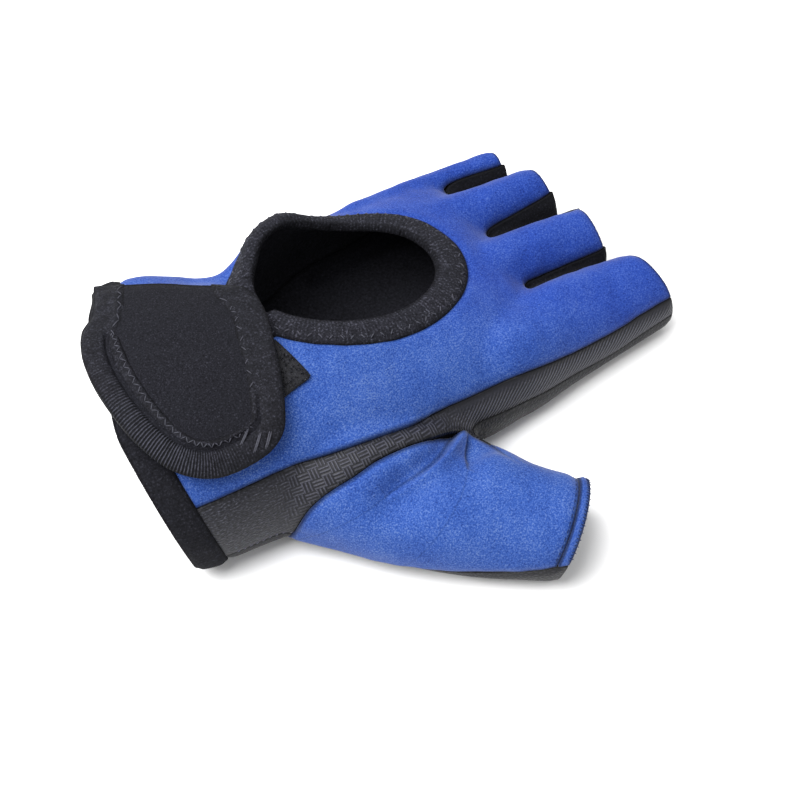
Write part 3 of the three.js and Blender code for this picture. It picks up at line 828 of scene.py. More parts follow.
def line_on_net(net, field, level, run_of):
    """The places of a net where a field has one level, ordered by their run along the seam."""
    points, normals, triangles, height = net
    surface = points + normals * height[:, None]
    value = field(points) - level
    pairs = np.concatenate([triangles[:, [0, 1]], triangles[:, [1, 2]], triangles[:, [2, 0]]])
    pairs = np.unique(np.sort(pairs, axis=1), axis=0)
    a, b = pairs.T
    crossed = (value[a] > 0) != (value[b] > 0)
    a, b = a[crossed], b[crossed]
    t = (value[a] / (value[a] - value[b]))[:, None]
    places = surface[a] + (surface[b] - surface[a]) * t
    facing = normals[a] + (normals[b] - normals[a]) * t
    run = run_of(points[a] + (points[b] - points[a]) * t)
    order = np.argsort(run)
    return places[order], facing[order], run[order]


def at_run(line, run):
    places, facing, runs = line
    spot = np.array([np.interp(run, runs, places[:, k]) for k in range(3)])
    normal = np.array([np.interp(run, runs, facing[:, k]) for k in range(3)])
    return spot, normal / np.linalg.norm(normal)


def capsule(start, end, normal, radius, arch):
    """A thread from start to end that rises in an arch and dips into the cloth at both ends."""
    along_thread = end - start
    length = np.linalg.norm(along_thread)
    forward = along_thread / length
    side = np.cross(normal, forward)
    points = []
    for ring in range(CAPSULE_RINGS):
        t = ring / (CAPSULE_RINGS - 1)
        bow = math.sin(math.pi * t)
        centre = start + along_thread * t + normal * (arch * bow - radius * 0.6)
        thick = radius * (0.35 + 0.65 * bow**0.5)
        for k in range(CAPSULE_SIDES):
            angle = 2 * math.pi * k / CAPSULE_SIDES
            points.append(centre + thick * (math.cos(angle) * side + math.sin(angle) * normal))
    faces = []
    for ring in range(CAPSULE_RINGS - 1):
        for k in range(CAPSULE_SIDES):
            a = ring * CAPSULE_SIDES + k
            b = ring * CAPSULE_SIDES + (k + 1) % CAPSULE_SIDES
            faces += [(a, b, b + CAPSULE_SIDES), (a, b + CAPSULE_SIDES, a + CAPSULE_SIDES)]
    return points, faces


def stitch_row(line, start, end, pitch, length, slant=0.0, radius=0.17, zigzag=0.0):
    """Stitches from one run to another. slant leans each one across the row, zigzag alternates."""
    threads = []
    for number, run in enumerate(np.arange(start, end, pitch)):
        first, normal = at_run(line, run)
        last, _ = at_run(line, run + length)
        ahead = last - first
        ahead /= max(np.linalg.norm(ahead), 1e-6)
        across = np.cross(normal, ahead)
        lean = slant + (zigzag if number % 2 else -zigzag)
        threads.append((first - across * lean, last + across * lean, normal, radius, radius * 0.9))
    return threads


def make_stitches(name, threads, material):
    points, faces = [], []
    for thread in threads:
        more_points, more_faces = capsule(*thread)
        base = len(points)
        points += more_points
        faces += [tuple(base + i for i in face) for face in more_faces]
    piece = make_piece(name, np.array(points), np.array(faces), [material], [])
    print(name, "has", len(threads), "stitches")
    return piece


# %% [markdown]
# ## Finishes
# Each finish is a small set of nodes in object space. One set works at the size of the real weave,
# so it needs no picture and no unwrapping. Ribs and blocks that follow a strip read its flat map.

# %% Node helpers
def new_material(name, roughness, specular, sheen=0.0):
    material = bpy.data.materials.new(name)
    material.use_nodes = True
    shader = material.node_tree.nodes["Principled BSDF"]
    shader.inputs["Roughness"].default_value = roughness
    shader.inputs["Specular IOR Level"].default_value = specular
    shader.inputs["Sheen Weight"].default_value = sheen
    shader.inputs["Sheen Roughness"].default_value = 0.4
    return material, material.node_tree, shader


def add_node(tree, kind, inputs=None, **settings):
    node = tree.nodes.new(kind)
    for key, value in settings.items():
        setattr(node, key, value)
    for key, value in (inputs or {}).items():
        if isinstance(value, bpy.types.NodeSocket):
            tree.links.new(value, node.inputs[key])
        else:
            node.inputs[key].default_value = value
    return node


def object_space(tree):
    return add_node(tree, "ShaderNodeTexCoord").outputs["Object"]


def noise(tree, scale, detail=2.0, roughness=0.5, vector=None):
    node = add_node(tree, "ShaderNodeTexNoise", {
        "Vector": vector or object_space(tree), "Scale": scale, "Detail": detail, "Roughness": roughness,
    })
    return node.outputs["Fac"]


def math_node(tree, operation, a, b=0.0, c=0.0, clamp=False):
    node = add_node(tree, "ShaderNodeMath", {0: a, 1: b, 2: c}, operation=operation, use_clamp=clamp)
    return node.outputs["Value"]


def ramp(tree, value, stops):
    node = add_node(tree, "ShaderNodeValToRGB", {"Fac": value})
    elements = node.color_ramp.elements
    while len(elements) < len(stops):
        elements.new(0.5)
    for element, (place, colour) in zip(elements, stops):
        element.position = place
        element.color = (*colour, 1)
    return node.outputs["Color"]


def between(tree, factor, a, b):
    """A number that goes from a to b with the factor."""
    return add_node(tree, "ShaderNodeMix", {"Factor": factor, 2: a, 3: b}).outputs[0]


def mix_colour(tree, factor, a, b, blend="MIX"):
    node = tree.nodes.new("ShaderNodeMix")
    node.data_type = "RGBA"
    node.blend_type = blend
    sockets = {s.identifier: s for s in node.inputs}
    for key, value in (("Factor_Float", factor), ("A_Color", a), ("B_Color", b)):
        if isinstance(value, bpy.types.NodeSocket):
            tree.links.new(value, sockets[key])
        else:
            sockets[key].default_value = (*value, 1) if isinstance(value, tuple) else value
    return next(s for s in node.outputs if s.identifier == "Result_Color")


def bump(tree, height, distance, strength=1.0, normal=None):
    inputs = {"Height": height, "Distance": distance, "Strength": strength}
    if normal is not None:
        inputs["Normal"] = normal
    return add_node(tree, "ShaderNodeBump", inputs).outputs["Normal"]


def flat_map(tree):
    """The piece's own flat map, in millimetres, split in two."""
    uv = add_node(tree, "ShaderNodeUVMap", uv_map="flat").outputs["UV"]
    split = add_node(tree, "ShaderNodeSeparateXYZ", {"Vector": uv})
    return split.outputs["X"], split.outputs["Y"]


def painted_seam_shade(tree, colour, deep, reach):
    """Painted shade: darker cloth within a short reach of the cut edge, where it dips into the seam."""
    edge = add_node(tree, "ShaderNodeAttribute", attribute_name="edge").outputs["Fac"]
    near = ramp(tree, math_node(tree, "DIVIDE", edge, reach), [
        (0.0, (deep,) * 3), (1.0, (1.0,) * 3),
    ])
    return mix_colour(tree, 1.0, colour, near, "MULTIPLY")


def grey(value):
    """A grey with the cold tint that black cloth takes under daylight."""
    return (value, value * 1.02, value * 1.36)


# %% [markdown]
# ### Blue neoprene
# The outer face of this foam is a fine knit of mixed yarns. Up close it is a heather of dark, blue
# and pale flecks, each about a third of a millimetre, over slow clouds of lighter cloth. Its colour
# is made a deeper blue towards the fingers and the little finger's side.

# %% Blue neoprene
def paler(tree):
    """One at the wrist and the thumb, falling to none towards the fingers and the little finger's side,
    where the blue is made deeper.
    """
    place = add_node(tree, "ShaderNodeSeparateXYZ", {"Vector": object_space(tree)})
    towards_fingers = math_node(tree, "MULTIPLY_ADD", place.outputs["X"], 20.0, -0.5)
    return math_node(
        tree, "SUBTRACT", 0.5, math_node(tree, "MULTIPLY_ADD", place.outputs["Y"], 27.0, towards_fingers),
        clamp=True,
    )


def blue_neoprene(name, dark, mid, light, seam_reach=0.9):
    material, tree, shader = new_material(name, 0.8, 0.12, 0.12)
    fleck = noise(tree, 2600, 3.0, 0.65)
    cloud = noise(tree, 90, 3.0)
    tone = math_node(tree, "MULTIPLY_ADD", cloud, 0.22, math_node(tree, "MULTIPLY_ADD", fleck, 1.0, -0.11))
    colour = ramp(tree, tone, [(0.3, dark), (0.5, mid), (0.74, light)])
    deep_blue = mix_colour(tree, 1.0, colour, (0.58, 0.66, 0.95), "MULTIPLY")
    colour = mix_colour(tree, paler(tree), deep_blue, colour)
    tree.links.new(painted_seam_shade(tree, colour, 0.3, seam_reach), shader.inputs["Base Color"])
    knit = bump(tree, fleck, 0.00025, 0.45)
    tree.links.new(bump(tree, cloud, 0.0012, 0.3, knit), shader.inputs["Normal"])
    return material


BLUE = blue_neoprene("blue neoprene", (0.008, 0.026, 0.14), (0.021, 0.064, 0.27), (0.10, 0.16, 0.35))
BLUE_HEM = blue_neoprene("blue hem", (0.007, 0.022, 0.12), (0.018, 0.056, 0.24), (0.08, 0.13, 0.31), 0.35)

# %% [markdown]
# ### Black cloths
# Lining, stretch knit, loop face and hooks are all black, but they differ in grain. Pale lint in
# the loops makes the strap's face look dusty, so its ramp ends in a few lighter specks.


# %% Black cloths
def black_cloth(name, dark, light, speck, grain, roughness, depth, specular=0.1, sheen=0.0):
    """Grain is in grains per metre. The speck colour shows only at the tops of the grain."""
    material, tree, shader = new_material(name, roughness, specular, sheen)
    fine = noise(tree, grain, 3.0, 0.7)
    colour = ramp(tree, fine, [(0.3, grey(dark)), (0.6, grey(light)), (0.72, grey(speck))])
    tree.links.new(painted_seam_shade(tree, colour, 0.5, 0.8), shader.inputs["Base Color"])
    tree.links.new(bump(tree, fine, depth, 0.6), shader.inputs["Normal"])
    return material


LINING = black_cloth("black lining", 0.004, 0.012, 0.02, 1500, 0.9, 0.0002)
STRETCH = black_cloth("black stretch knit", 0.003, 0.010, 0.03, 2200, 0.85, 0.0002)
LOOPS = black_cloth("black loop face", 0.003, 0.012, 0.035, 2600, 0.95, 0.0003, 0.08, 0.02)
HOOKS_BASE = black_cloth("black hook tape", 0.003, 0.012, 0.04, 1800, 0.6, 0.0004, 0.2)
THREAD = black_cloth("grey thread", 0.04, 0.09, 0.16, 3000, 0.6, 0.0001, 0.25)
PALE_THREAD = black_cloth("pale grey thread", 0.12, 0.22, 0.3, 3000, 0.6, 0.0001, 0.25)
BRISTLE = black_cloth("hook bristle", 0.01, 0.04, 0.09, 3000, 0.4, 0.0001, 0.4)


# %% Black leather
def leather(name, dark, light):
    """Black synthetic leather: pebbled cells with fine creases between them, which get painted shade."""
    material, tree, shader = new_material(name, 0.5, 0.22)
    cells = add_node(tree, "ShaderNodeTexVoronoi", {
        "Vector": object_space(tree), "Scale": 900.0, "Randomness": 0.9,
    }, feature="DISTANCE_TO_EDGE").outputs["Distance"]
    pebble = ramp(tree, cells, [(0.0, (0.0,) * 3), (0.35, (1.0,) * 3)])
    colour = mix_colour(tree, pebble, dark, light)
    tree.links.new(painted_seam_shade(tree, colour, 0.6, 1.0), shader.inputs["Base Color"])
    tree.links.new(bump(tree, pebble, 0.0002, 0.5), shader.inputs["Normal"])
    return material


LEATHER = leather("black leather", grey(0.004), grey(0.014))

# %% [markdown]
# ### Ribbed tape
# The tape is a narrow knit whose ribs run across it. Where it is pulled round a curve the ribs
# open and shine, and where it lies flat they almost close. The shine of the open ribs and the
# shade between them are painted into the colour as lighter and darker stripes. So three tapes are
# made: a flat one for the cuff, a paler one for the keyhole and a ribbed one for the strap's roll.


# %% Ribbed tape
def ribbed_tape(name, dark, light, speck, pitch, ribbing, roughness, specular, open_ribs=None):
    """ribbing is how clear the ribs are, in their bump and in their painted highlight and shade.
    open_ribs gives the run where they open fully and how far on either side of it they close again."""
    material, tree, shader = new_material(name, roughness, specular)
    run, across = flat_map(tree)
    wobble = noise(tree, 300, 2.0)
    even = math_node(tree, "MULTIPLY", run, 2 * math.pi / pitch)
    phase = math_node(tree, "MULTIPLY_ADD", wobble, 2.4, even)
    rib = math_node(tree, "MULTIPLY_ADD", math_node(tree, "SINE", phase), 0.5, 0.5)
    share = ribbing
    if open_ribs:
        middle, reach = open_ribs
        away_from = math_node(tree, "ABSOLUTE", math_node(tree, "SUBTRACT", run, middle))
        open_share = math_node(tree, "MULTIPLY_ADD", away_from, -1 / reach, 1.0, clamp=True)
        inner = math_node(tree, "MULTIPLY_ADD", across, -0.5, 3.6, clamp=True)
        share = math_node(tree, "MULTIPLY", math_node(tree, "MULTIPLY", open_share, inner), ribbing)
    fine = noise(tree, 1900, 3.0, 0.75)
    patch = noise(tree, 420, 2.0)
    grain = math_node(tree, "MULTIPLY_ADD", patch, 0.22, math_node(tree, "MULTIPLY_ADD", fine, 1.0, -0.12))
    # Painted highlight and shade: where the ribs open, their stripes lighten and darken the colour.
    tone = between(tree, share, grain, rib)
    colour = ramp(tree, tone, [(0.3, grey(dark)), (0.55, grey(light)), (0.78, grey(speck))])
    tree.links.new(painted_seam_shade(tree, colour, 0.5, 0.6), shader.inputs["Base Color"])
    ribs = bump(tree, math_node(tree, "MULTIPLY", rib, share), 0.0005, 0.8)
    tree.links.new(bump(tree, fine, 0.0004, 0.7, ribs), shader.inputs["Normal"])
    return material


FLAT_TAPE = ribbed_tape("black knit tape", 0.003, 0.009, 0.035, 0.85, 0.05, 0.85, 0.08)
PALE_TAPE = ribbed_tape("rubbed knit tape", 0.004, 0.016, 0.10, 0.85, 0.07, 0.85, 0.08)
ROLL_TAPE = ribbed_tape("black ribbed roll", 0.003, 0.011, 0.052, 0.8, 0.55, 0.7, 0.08, (54, 29))

# %% [markdown]
# ### Embossed cloth
# The strip on the thumb's side is pressed with a pattern. It is a basket weave in the middle,
# fades into short dashes at the wrist, and turns into slanted ridges towards the index finger. The
# colour follows the height, so the raised parts get painted highlight and the hollows painted shade,
# over a random grain.


# %% Embossed cloth
def embossed_cloth(name, dark, light, bright):
    material, tree, shader = new_material(name, 0.5, 0.2)
    run, across = flat_map(tree)
    block = 2.5
    bars = block / 3
    u = math_node(tree, "DIVIDE", run, block)
    v = math_node(tree, "DIVIDE", across, block)
    checker = math_node(tree, "PINGPONG", math_node(
        tree, "ADD", math_node(tree, "FLOOR", u), math_node(tree, "FLOOR", v)), 1.0)
    bars_run = math_node(tree, "SINE", math_node(tree, "MULTIPLY", run, 2 * math.pi / bars))
    bars_across = math_node(tree, "SINE", math_node(tree, "MULTIPLY", across, 2 * math.pi / bars))
    basket = between(tree, checker, bars_run, bars_across)
    slanted = math_node(tree, "MULTIPLY_ADD", across, 5.2, math_node(tree, "MULTIPLY", run, -5.2))
    low_edge = math_node(tree, "MULTIPLY_ADD", across, -0.35, -4.6, clamp=True)
    hatch = math_node(tree, "MULTIPLY", math_node(tree, "SINE", slanted), low_edge)
    hatch = math_node(tree, "MULTIPLY", hatch, 1.8)
    stretched = add_node(tree, "ShaderNodeCombineXYZ", {
        "X": math_node(tree, "MULTIPLY", run, 1.1), "Y": math_node(tree, "MULTIPLY", across, 2.6),
    }).outputs["Vector"]
    dashes = math_node(tree, "MULTIPLY_ADD", noise(tree, 1.0, 1.0, 0.5, stretched), 5.0, -2.6)
    to_basket = math_node(tree, "MULTIPLY_ADD", run, 0.09, -0.4, clamp=True)
    to_hatch = math_node(tree, "MULTIPLY_ADD", run, 0.07, -3.6, clamp=True)
    pattern = between(tree, to_hatch, between(tree, to_basket, dashes, basket), hatch)
    fine = noise(tree, 2000, 2.0, 0.6)
    height = math_node(tree, "MULTIPLY_ADD", pattern, 0.26, math_node(tree, "MULTIPLY_ADD", fine, 0.5, 0.2))
    # Painted highlight and shade: the colour follows the pattern's height, lightest on its ridges.
    colour = ramp(tree, height, [(0.2, grey(dark)), (0.55, grey(light)), (0.85, grey(bright))])
    tree.links.new(painted_seam_shade(tree, colour, 0.35, 1.0), shader.inputs["Base Color"])
    tree.links.new(bump(tree, height, 0.0003, 0.7), shader.inputs["Normal"])
    return material


CHARCOAL = embossed_cloth("embossed charcoal cloth", 0.007, 0.019, 0.075)

floor_material, _, floor_shader = new_material("pale floor", 0.9, 0.1)
floor_shader.inputs["Base Color"].default_value = (0.95, 0.95, 0.95, 1)
floor.data.materials.append(floor_material)
print("finishes:", len(bpy.data.materials))

# %% [markdown]
# ## The panels
# The blue back is one large panel with the keyhole cut out of it. The embossed strip runs up the
# thumb's side, the leather palm closes the glove below, and three stretch pieces join the fingers.


# %% Cut and place the panels
def moved(distance, by):
    """The same seam, moved inwards by a number of millimetres."""
    return lambda points: distance(points) - by


def ripple(points, wave, seed):
    """Slow random waves of height about one, so that no cloth is quite even."""
    random = np.random.default_rng(seed)
    total = np.zeros(len(points))
    for _ in range(6):
        direction = random.normal(size=3)
        direction /= np.linalg.norm(direction)
        total += np.sin(points @ direction * 2 * math.pi / wave + random.uniform(0, 2 * math.pi))
    return total / 2.5


def soft_cloth(points, inset):
    return 0.16 * ripple(points, 17, 3) + 0.06 * ripple(points, 6, 4)


def plain_chart(points):
    return points[:, :2]


def up_the_side(points):
    return on_board(points, THUMB_TILT)


not_webs = [outside(web) for web in webs]
raw_ends = [moved(before_finger_ends, -SEAM_MARGIN), moved(before_thumb_end, -SEAM_MARGIN)]
behind_tape = moved(past_cuff, TAPE_WIDTH)

sewn_panel(
    "back_panel", "neoprene",
    [above_upper, outside(in_thumb), outside(keyhole_rim), behind_tape, raw_ends[0]] + not_webs,
    [BLUE, LINING], flat=plain_chart, relief=soft_cloth,
)

# Creases of the thumb's cloth where the thumb bends in. Columns: from, to, depth, and how wide the
# valley is on the left and on the right of that run
CREASES = [
    ((59.5, -40.4, 21), (32, -50.5, 24), 3.0, 0.45, 4.6),
    ((59.6, -43.6, 20), (53.6, -52, 23), 1.7, 1.6, 0.55),
]
LIP = {"height": 0.8, "at": 0.9, "width": 1.6}


def crease_sides(points):
    """For each crease: its depth, how far off its line a point lies, and how much of it is left."""
    board = on_board(points, THUMB_TILT)
    for start, end, deep, left, right in CREASES:
        first, last = on_board(np.array([start, end], float), THUMB_TILT)
        run = last - first
        length = np.linalg.norm(run)
        run /= length
        off = board - first
        t = off @ run / length
        side = run[0] * off[:, 1] - run[1] * off[:, 0]
        fade = np.clip(1 - t, 0, 1) ** 0.5 * np.clip(1 + t * 6, 0, 1)
        yield deep, side, np.where(side < 0, right, left), fade


def creased(points, inset):
    """Valleys with one steep and one gentle side. The cloth bulges a little along the first one."""
    height = soft_cloth(points, inset)
    for number, (deep, side, width, fade) in enumerate(crease_sides(points)):
        height -= deep * fade * np.exp(-((side / width) ** 2))
        if number == 0:
            height += LIP["height"] * fade * np.exp(-(((side - LIP["at"]) / LIP["width"]) ** 2))
    return height


def crease_shade_distance(points):
    """Distance from the nearest crease's line, growing as the crease runs out. It sets painted shade along
    the crease.
    """
    return np.min([
        np.abs(side + 0.25) + 0.6 * (1 - fade) for _, side, _, fade in crease_sides(points)
    ], axis=0)


near_thumb = (skin_points[:, 1] < -8) & (skin_points[:, 0] < 86)
thumb_triangles = skin_triangles[near_thumb[skin_triangles].all(axis=1)]
thumb_rows, thumb_triangles = packed(np.hstack([skin_points, skin_normals]), thumb_triangles)
thumb_skin = finer(thumb_rows[:, :3], thumb_rows[:, 3:], thumb_triangles)
sewn_panel(
    "thumb_panel", "neoprene",
    [in_thumb, above_sole, moved(before_thumb_end, HEM_WIDTH), behind_tape],
    [BLUE, LINING], flat=plain_chart, relief=creased, source=thumb_skin,
    crease_shade_distance=crease_shade_distance,
)
sewn_panel(
    "side_gusset", "embossed",
    [outside(above_upper), above_lower, outside(in_thumb), behind_tape] + raw_ends + not_webs,
    [CHARCOAL, LINING], flat=up_the_side,
)


def palm_side(points):
    """Inside the palm: below the lower seam, or under the thumb."""
    under_body = np.minimum(-above_lower(points), -in_thumb(points))
    under_thumb = np.minimum(-above_sole(points), -above_lower(points))
    return np.maximum(under_body, under_thumb)


sewn_panel(
    "palm_panel", "leather", [palm_side, behind_tape] + raw_ends + not_webs,
    [LEATHER, LINING], flat=plain_chart,
)
for web, distance in zip(WEBS, webs):
    sewn_panel(
        web[0], "knit", [distance, moved(raw_ends[0], -0.8)], [STRETCH, LINING],
        flat=plain_chart, puff=0.2,
    )

# %% [markdown]
# ## Tapes
# One knitted tape binds every raw edge. It is folded over the edge, so it laps a little over the
# panel, stands above it, and rolls round into the opening.

# %% Tapes
TAPE_LAP = 0.8
TAPE_RISE = 0.75


def oval_line(oval, count=160):
    angle = np.linspace(-math.pi, math.pi, count)
    u, v = oval["along"] * np.cos(angle), oval["across"] * np.sin(angle)
    c, s = math.cos(oval["turn"]), math.sin(oval["turn"])
    return np.stack([oval["x"] + u * c - v * s, oval["y"] + u * s + v * c], axis=1)


keyhole_line = oval_line(KEYHOLE)


def keyhole_chart(points):
    distance, ran, _ = nearest_on_line(points[:, :2], keyhole_line)
    return np.stack([ran, distance], axis=1)


def cuff_chart(points):
    angle = np.arctan2(points[:, 1], points[:, 2] - 20)
    return np.stack([angle * 28, past_cuff(points)], axis=1)


def folded(rise, soft=1.0):
    """Height of a folded tape: full in the middle and rounded over at both of its edges."""
    return lambda points, inset: rise * (1 - np.exp(-((inset / soft) ** 2))) + 0.05 * ripple(points, 5, 8)


sewn_panel(
    "keyhole_binding", "tape",
    [moved(keyhole_rim, -TAPE_LAP), outside(keyhole_edge), behind_tape],
    [PALE_TAPE, PALE_TAPE], flat=keyhole_chart, relief=folded(TAPE_RISE), puff=0,
)
sewn_panel(
    "cuff_binding", "tape",
    [past_cuff, moved(outside(past_cuff), -TAPE_WIDTH - TAPE_LAP), outside(keyhole_edge)],
    [FLAT_TAPE, FLAT_TAPE], flat=cuff_chart, relief=folded(TAPE_RISE), puff=0,
)
sewn_panel(
    "thumb_hem", "fold",
    [
        in_thumb, moved(before_thumb_end, -SEAM_MARGIN),
        moved(outside(before_thumb_end), -HEM_WIDTH), above_sole,
    ],
    [BLUE_HEM, BLUE_HEM], flat=plain_chart, relief=folded(0.45, 0.8),
    puff=0.2, puff_width=0.8,
)

# %% [markdown]
# ## Strap
# The strap is a D shaped tab whose loop face grips the hook patch. Its straight edge is sewn down
# under the back panel and its round edge is bound with tape. On the wrist's side the tape is
# rolled: a thick ribbed roll, a groove, then a flat flange that is stitched to the face.

# %% Tables of the strap
STRAP_TILT = math.radians(18)
STRAP_SHIFT = np.array([0, -0.9, 0.5])
STRAP_RISE = 1.3
STRAP_THICK = 2.5
STRAP_OUTLINE = [
    (-7.4, 29.6, 38), (-12.2, 19.6, 40), (-16.7, 14.6, 41.3), (-19.6, 6, 43), (-20, -5.4, 44),
    (-17.7, -18, 43), (-12.5, -27.6, 40), (-4.2, -32.4, 37.2), (7, -32.6, 36.9), (14.2, -30.2, 38.4),
    (18, -25, 41), (22, -13.4, 44), (25.2, 0, 44), (24.5, 8.6, 42.5),
]
# Columns: run along the outline, width of the tape, how much of it is rolled
STRAP_TAPE = [
    (0, 7.6, 0), (12, 8.2, 0), (21, 9.8, 1), (30, 10.2, 1), (45, 9.6, 1), (60, 8.8, 1), (72, 8.4, 1),
    (84, 8.2, 1), (96, 8.6, 0.25), (106, 8.8, 0), (132, 8.8, 0),
]
ROLL_HALF = 3.0
ROLL_RISE = 1.5
GROOVE = {"at": 6.3, "width": 0.55, "depth": 1.1}
FLANGE_RISE = 0.5
LOOP_FACE_INSET = 4.5
STRAP_FROM_Z = 25


# %% Distances on the strap
strap_edge = sampled(on_board(np.array(STRAP_OUTLINE, float), STRAP_TILT), 160)


def strap_chart(points):
    distance, ran, _ = nearest_on_line(on_board(points, STRAP_TILT), strap_edge)
    return np.stack([ran, distance], axis=1)


def in_strap_edge(points):
    distance, _, side = nearest_on_line(on_board(points, STRAP_TILT), strap_edge)
    return distance * side


def before_strap_seam(points):
    seam = strap_edge[0] - strap_edge[-1]
    seam = seam / np.linalg.norm(seam)
    off = on_board(points, STRAP_TILT) - strap_edge[-1]
    return seam[0] * off[:, 1] - seam[1] * off[:, 0]


def tape_width(points):
    return along(STRAP_TAPE, strap_chart(points)[:, 0], 1)


def in_strap_tape(points):
    return tape_width(points) - in_strap_edge(points)


def on_top(points):
    return points[:, 2] - STRAP_FROM_Z


# %% A finer net for the strap
near_strap = (skin_points[:, 0] < 34) & (skin_points[:, 2] > 20)
strap_triangles = skin_triangles[near_strap[skin_triangles].all(axis=1)]
strap_rows = np.hstack([skin_points + skin_normals * STRAP_RISE + STRAP_SHIFT, skin_normals])
strap_rows, strap_triangles = packed(strap_rows, strap_triangles)
strap_skin = finer(strap_rows[:, :3], strap_rows[:, 3:], strap_triangles)
strap_skin = (relaxed(strap_skin[0], strap_skin[2], 6), strap_skin[1], strap_skin[2])


# %% The strap's face and its tape
def strap_tape_height(points, inset):
    run, distance = strap_chart(points).T
    rolled = along(STRAP_TAPE, run, 2)
    bow = np.clip(1 - ((distance - ROLL_HALF) / ROLL_HALF) ** 2, 0, 1)
    roll = ROLL_RISE * np.sqrt(bow)
    groove = GROOVE["depth"] * np.exp(-(((distance - GROOVE["at"]) / GROOVE["width"]) ** 2))
    flange = FLANGE_RISE * np.clip((distance - GROOVE["at"]) / 0.6, 0, 1)
    flat = FLANGE_RISE * (1 - np.exp(-((inset / 0.8) ** 2)))
    inner_edge = np.exp(-((in_strap_tape(points) / 0.5) ** 2))
    wrinkle = 0.07 * ripple(points, 4, 6)
    return rolled * (roll - groove + flange - FLANGE_RISE * inner_edge) + (1 - rolled) * flat + wrinkle


sewn_panel(
    "strap", "loop_face", [on_top, moved(in_strap_edge, LOOP_FACE_INSET), before_strap_seam],
    [LOOPS, LOOPS], rise=STRAP_THICK, depth=0, puff=0.3, flat=strap_chart,
    source=strap_skin, relief=lambda points, inset: 0.10 * ripple(points, 14, 5),
)
sewn_panel(
    "strap_binding", "tape", [on_top, in_strap_edge, in_strap_tape, before_strap_seam],
    [ROLL_TAPE, ROLL_TAPE], rise=STRAP_THICK, depth=0.2, puff=0, flat=strap_chart,
    relief=strap_tape_height, source=strap_skin,
)

# %% [markdown]
# ## Hook patch
# A small patch of hook tape is sewn to the back, and one corner of it shows beside the strap. Its
# hooks are stiff loops of thread, cut open, so short leaning bristles stand for them.

# %% Hook patch
HOOKS = [(27.8, -19.9), (24.2, -8), (17, 0), (0, -8), (5, -26), (20.6, -21.5)]
BRISTLES_PER_MM2 = 1.6
BRISTLE_HEIGHT = 0.8


def in_hooks(points):
    closed = np.array(HOOKS + HOOKS[:1], float)
    distance, _, side = nearest_on_line(points[:, :2], closed)
    return distance * side


sewn_panel(
    "hook_patch", "base", [on_top, in_hooks, outside(keyhole_rim)], [HOOKS_BASE, LINING],
    rise=1.1, depth=-0.2, puff=0.1, flat=plain_chart,
)


def scattered(net, density, seed):
    """Random places on a net with an even density, and the normals there."""
    points, normals, triangles, height = net
    surface = points + normals * height[:, None]
    a, b, c = (surface[triangles[:, k]] for k in range(3))
    area = np.linalg.norm(np.cross(b - a, c - a), axis=1) / 2
    random = np.random.default_rng(seed)
    chosen = random.choice(len(area), int(area.sum() * density), p=area / area.sum())
    share = random.dirichlet((1, 1, 1), len(chosen))
    places = sum(share[:, k:k + 1] * corner[chosen] for k, corner in enumerate((a, b, c)))
    return places, normals[triangles[chosen, 0]], random


places, facing, random = scattered(nets["hook_patch_base"], BRISTLES_PER_MM2, 11)
bristles = []
for place, normal in zip(places, facing):
    tip = place + normal * BRISTLE_HEIGHT * random.uniform(0.6, 1.0) + random.normal(size=3) * 0.25
    sideways = np.cross(normal, (1.0, 0.3, 0.0))
    bristles.append((place - normal * 0.1, tip, sideways / np.linalg.norm(sideways), 0.13, 0.0))
make_stitches("hook_patch_bristles", bristles, BRISTLE)

# %% [markdown]
# ## Sewing
# The threads that show are few: a zigzag along the keyhole's tape, a zigzag on the strap's flange,
# a bar of slanted stitches at the strap's corner, a row along the embossed strip's lower seam, one
# below the thumb's hem, and the overlock threads along the thumb's open edge.

# %% Sew the visible seams
keyhole_seam = line_on_net(nets["keyhole_binding_tape"], moved(keyhole_rim, -TAPE_LAP), 1.9,
                           lambda p: keyhole_chart(p)[:, 0])
keyhole_ends = keyhole_seam[2][[0, -1]]
make_stitches("keyhole_stitches", stitch_row(
    keyhole_seam, keyhole_ends[0] + 2, keyhole_ends[1] - 3, 2.2, 0.9, zigzag=0.6, radius=0.18,
), THREAD)

flange_seam = line_on_net(nets["strap_binding_tape"], in_strap_tape, 1.3, lambda p: strap_chart(p)[:, 0])
make_stitches("flange_stitches", stitch_row(
    flange_seam, 2, 84, 1.5, 1.4, zigzag=0.6, radius=0.14,
) + stitch_row(flange_seam, 100, 128, 3.0, 1.4, zigzag=0.6, radius=0.14), THREAD)

# The two ends of each thread of the bar, as x and y
BAR = [((7.3, -25.9), (4.0, -28.2)), ((9.7, -27.3), (5.9, -30.4)), ((12.0, -27.9), (8.7, -30.7))]


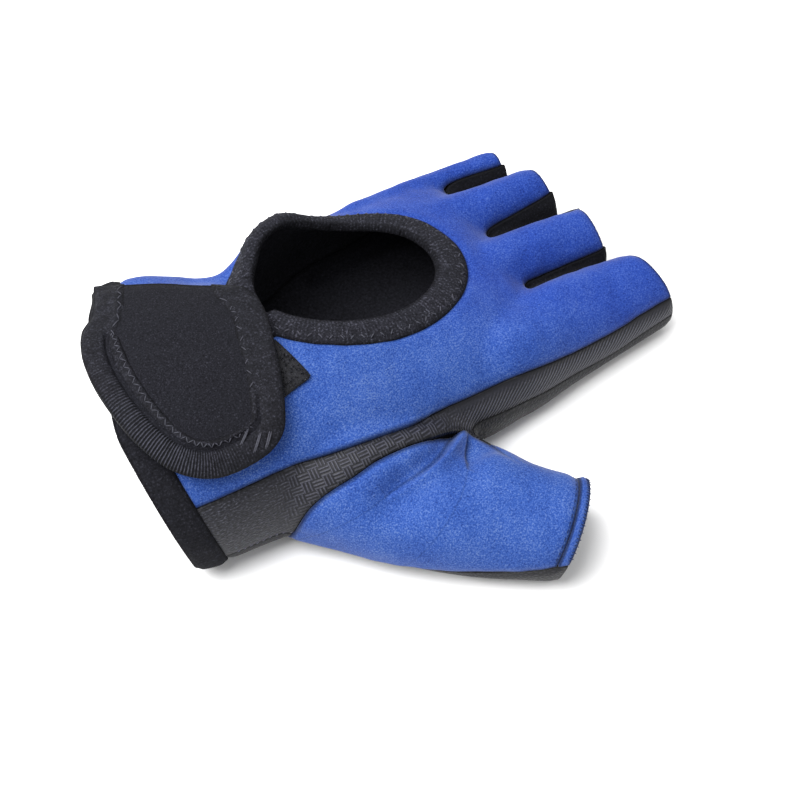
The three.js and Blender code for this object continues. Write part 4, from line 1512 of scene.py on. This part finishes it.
def on_cloth(names, place):
    """The spot of the first net that reaches under a place on the level board."""
    for name in names:
        points, normals, _, height = nets[name]
        away_from = np.hypot(points[:, 0] - place[0], points[:, 1] - place[1])
        nearest = np.argmin(away_from)
        if away_from[nearest] < 0.6:
            break
    return points[nearest] + normals[nearest] * height[nearest], normals[nearest]


bar = []
for start, end in BAR:
    for shift in (-0.12, 0.12):
        first, normal = on_cloth(["strap_binding_tape", "strap_loop_face"], (start[0] + shift, start[1]))
        last, _ = on_cloth(["strap_binding_tape", "strap_loop_face"], (end[0] + shift, end[1]))
        bar.append((first, last, normal, 0.2, 0.6))
make_stitches("bar_stitches", bar, THREAD)

lower_seam = line_on_net(nets["side_gusset_embossed"], above_lower, 0.9, lambda p: p[:, 0])
make_stitches("side_stitches", stitch_row(
    lower_seam, -4, 24, 1.7, 1.0, slant=0.4, radius=0.2,
), PALE_THREAD)


def run_along(line):
    """The same line with the length run along it, for an edge that goes round."""
    steps = np.linalg.norm(np.diff(line[0], axis=0), axis=1)
    return line[0], line[1], np.concatenate([[0], np.cumsum(steps)])


hem_seam = run_along(line_on_net(
    nets["thumb_panel_neoprene"], before_thumb_end, HEM_WIDTH + 0.9, lambda p: -p[:, 1]))
hem_edge = run_along(line_on_net(
    nets["thumb_hem_fold"], before_thumb_end, 0.35, lambda p: -p[:, 1]))
make_stitches("hem_stitches", stitch_row(
    hem_seam, 1, hem_seam[2][-1] - 2, 2.0, 1.3, radius=0.12,
) + stitch_row(
    hem_edge, 1, hem_edge[2][-1] - 1, 0.9, 0.35, slant=0.75, radius=0.17, zigzag=0.15,
), BLUE_HEM)

# %% [markdown]
# ## Foam and sheets
# Neoprene is a foam between two knits, so the blue panels and the strap are padded pieces. The
# leather, the embossed strip and the stretch pieces between the fingers are sheets.
# Every shape was made in code: a filled-out glove is pulled tight and does not hang or drape.

# %% [markdown]
# ## Count the pieces
# The number of pieces and of their triangles is printed.

# %% Count the pieces
total = sum(len(piece.data.polygons) for piece in made_pieces.values())
print("pieces:", len(made_pieces), "triangles in all:", total)
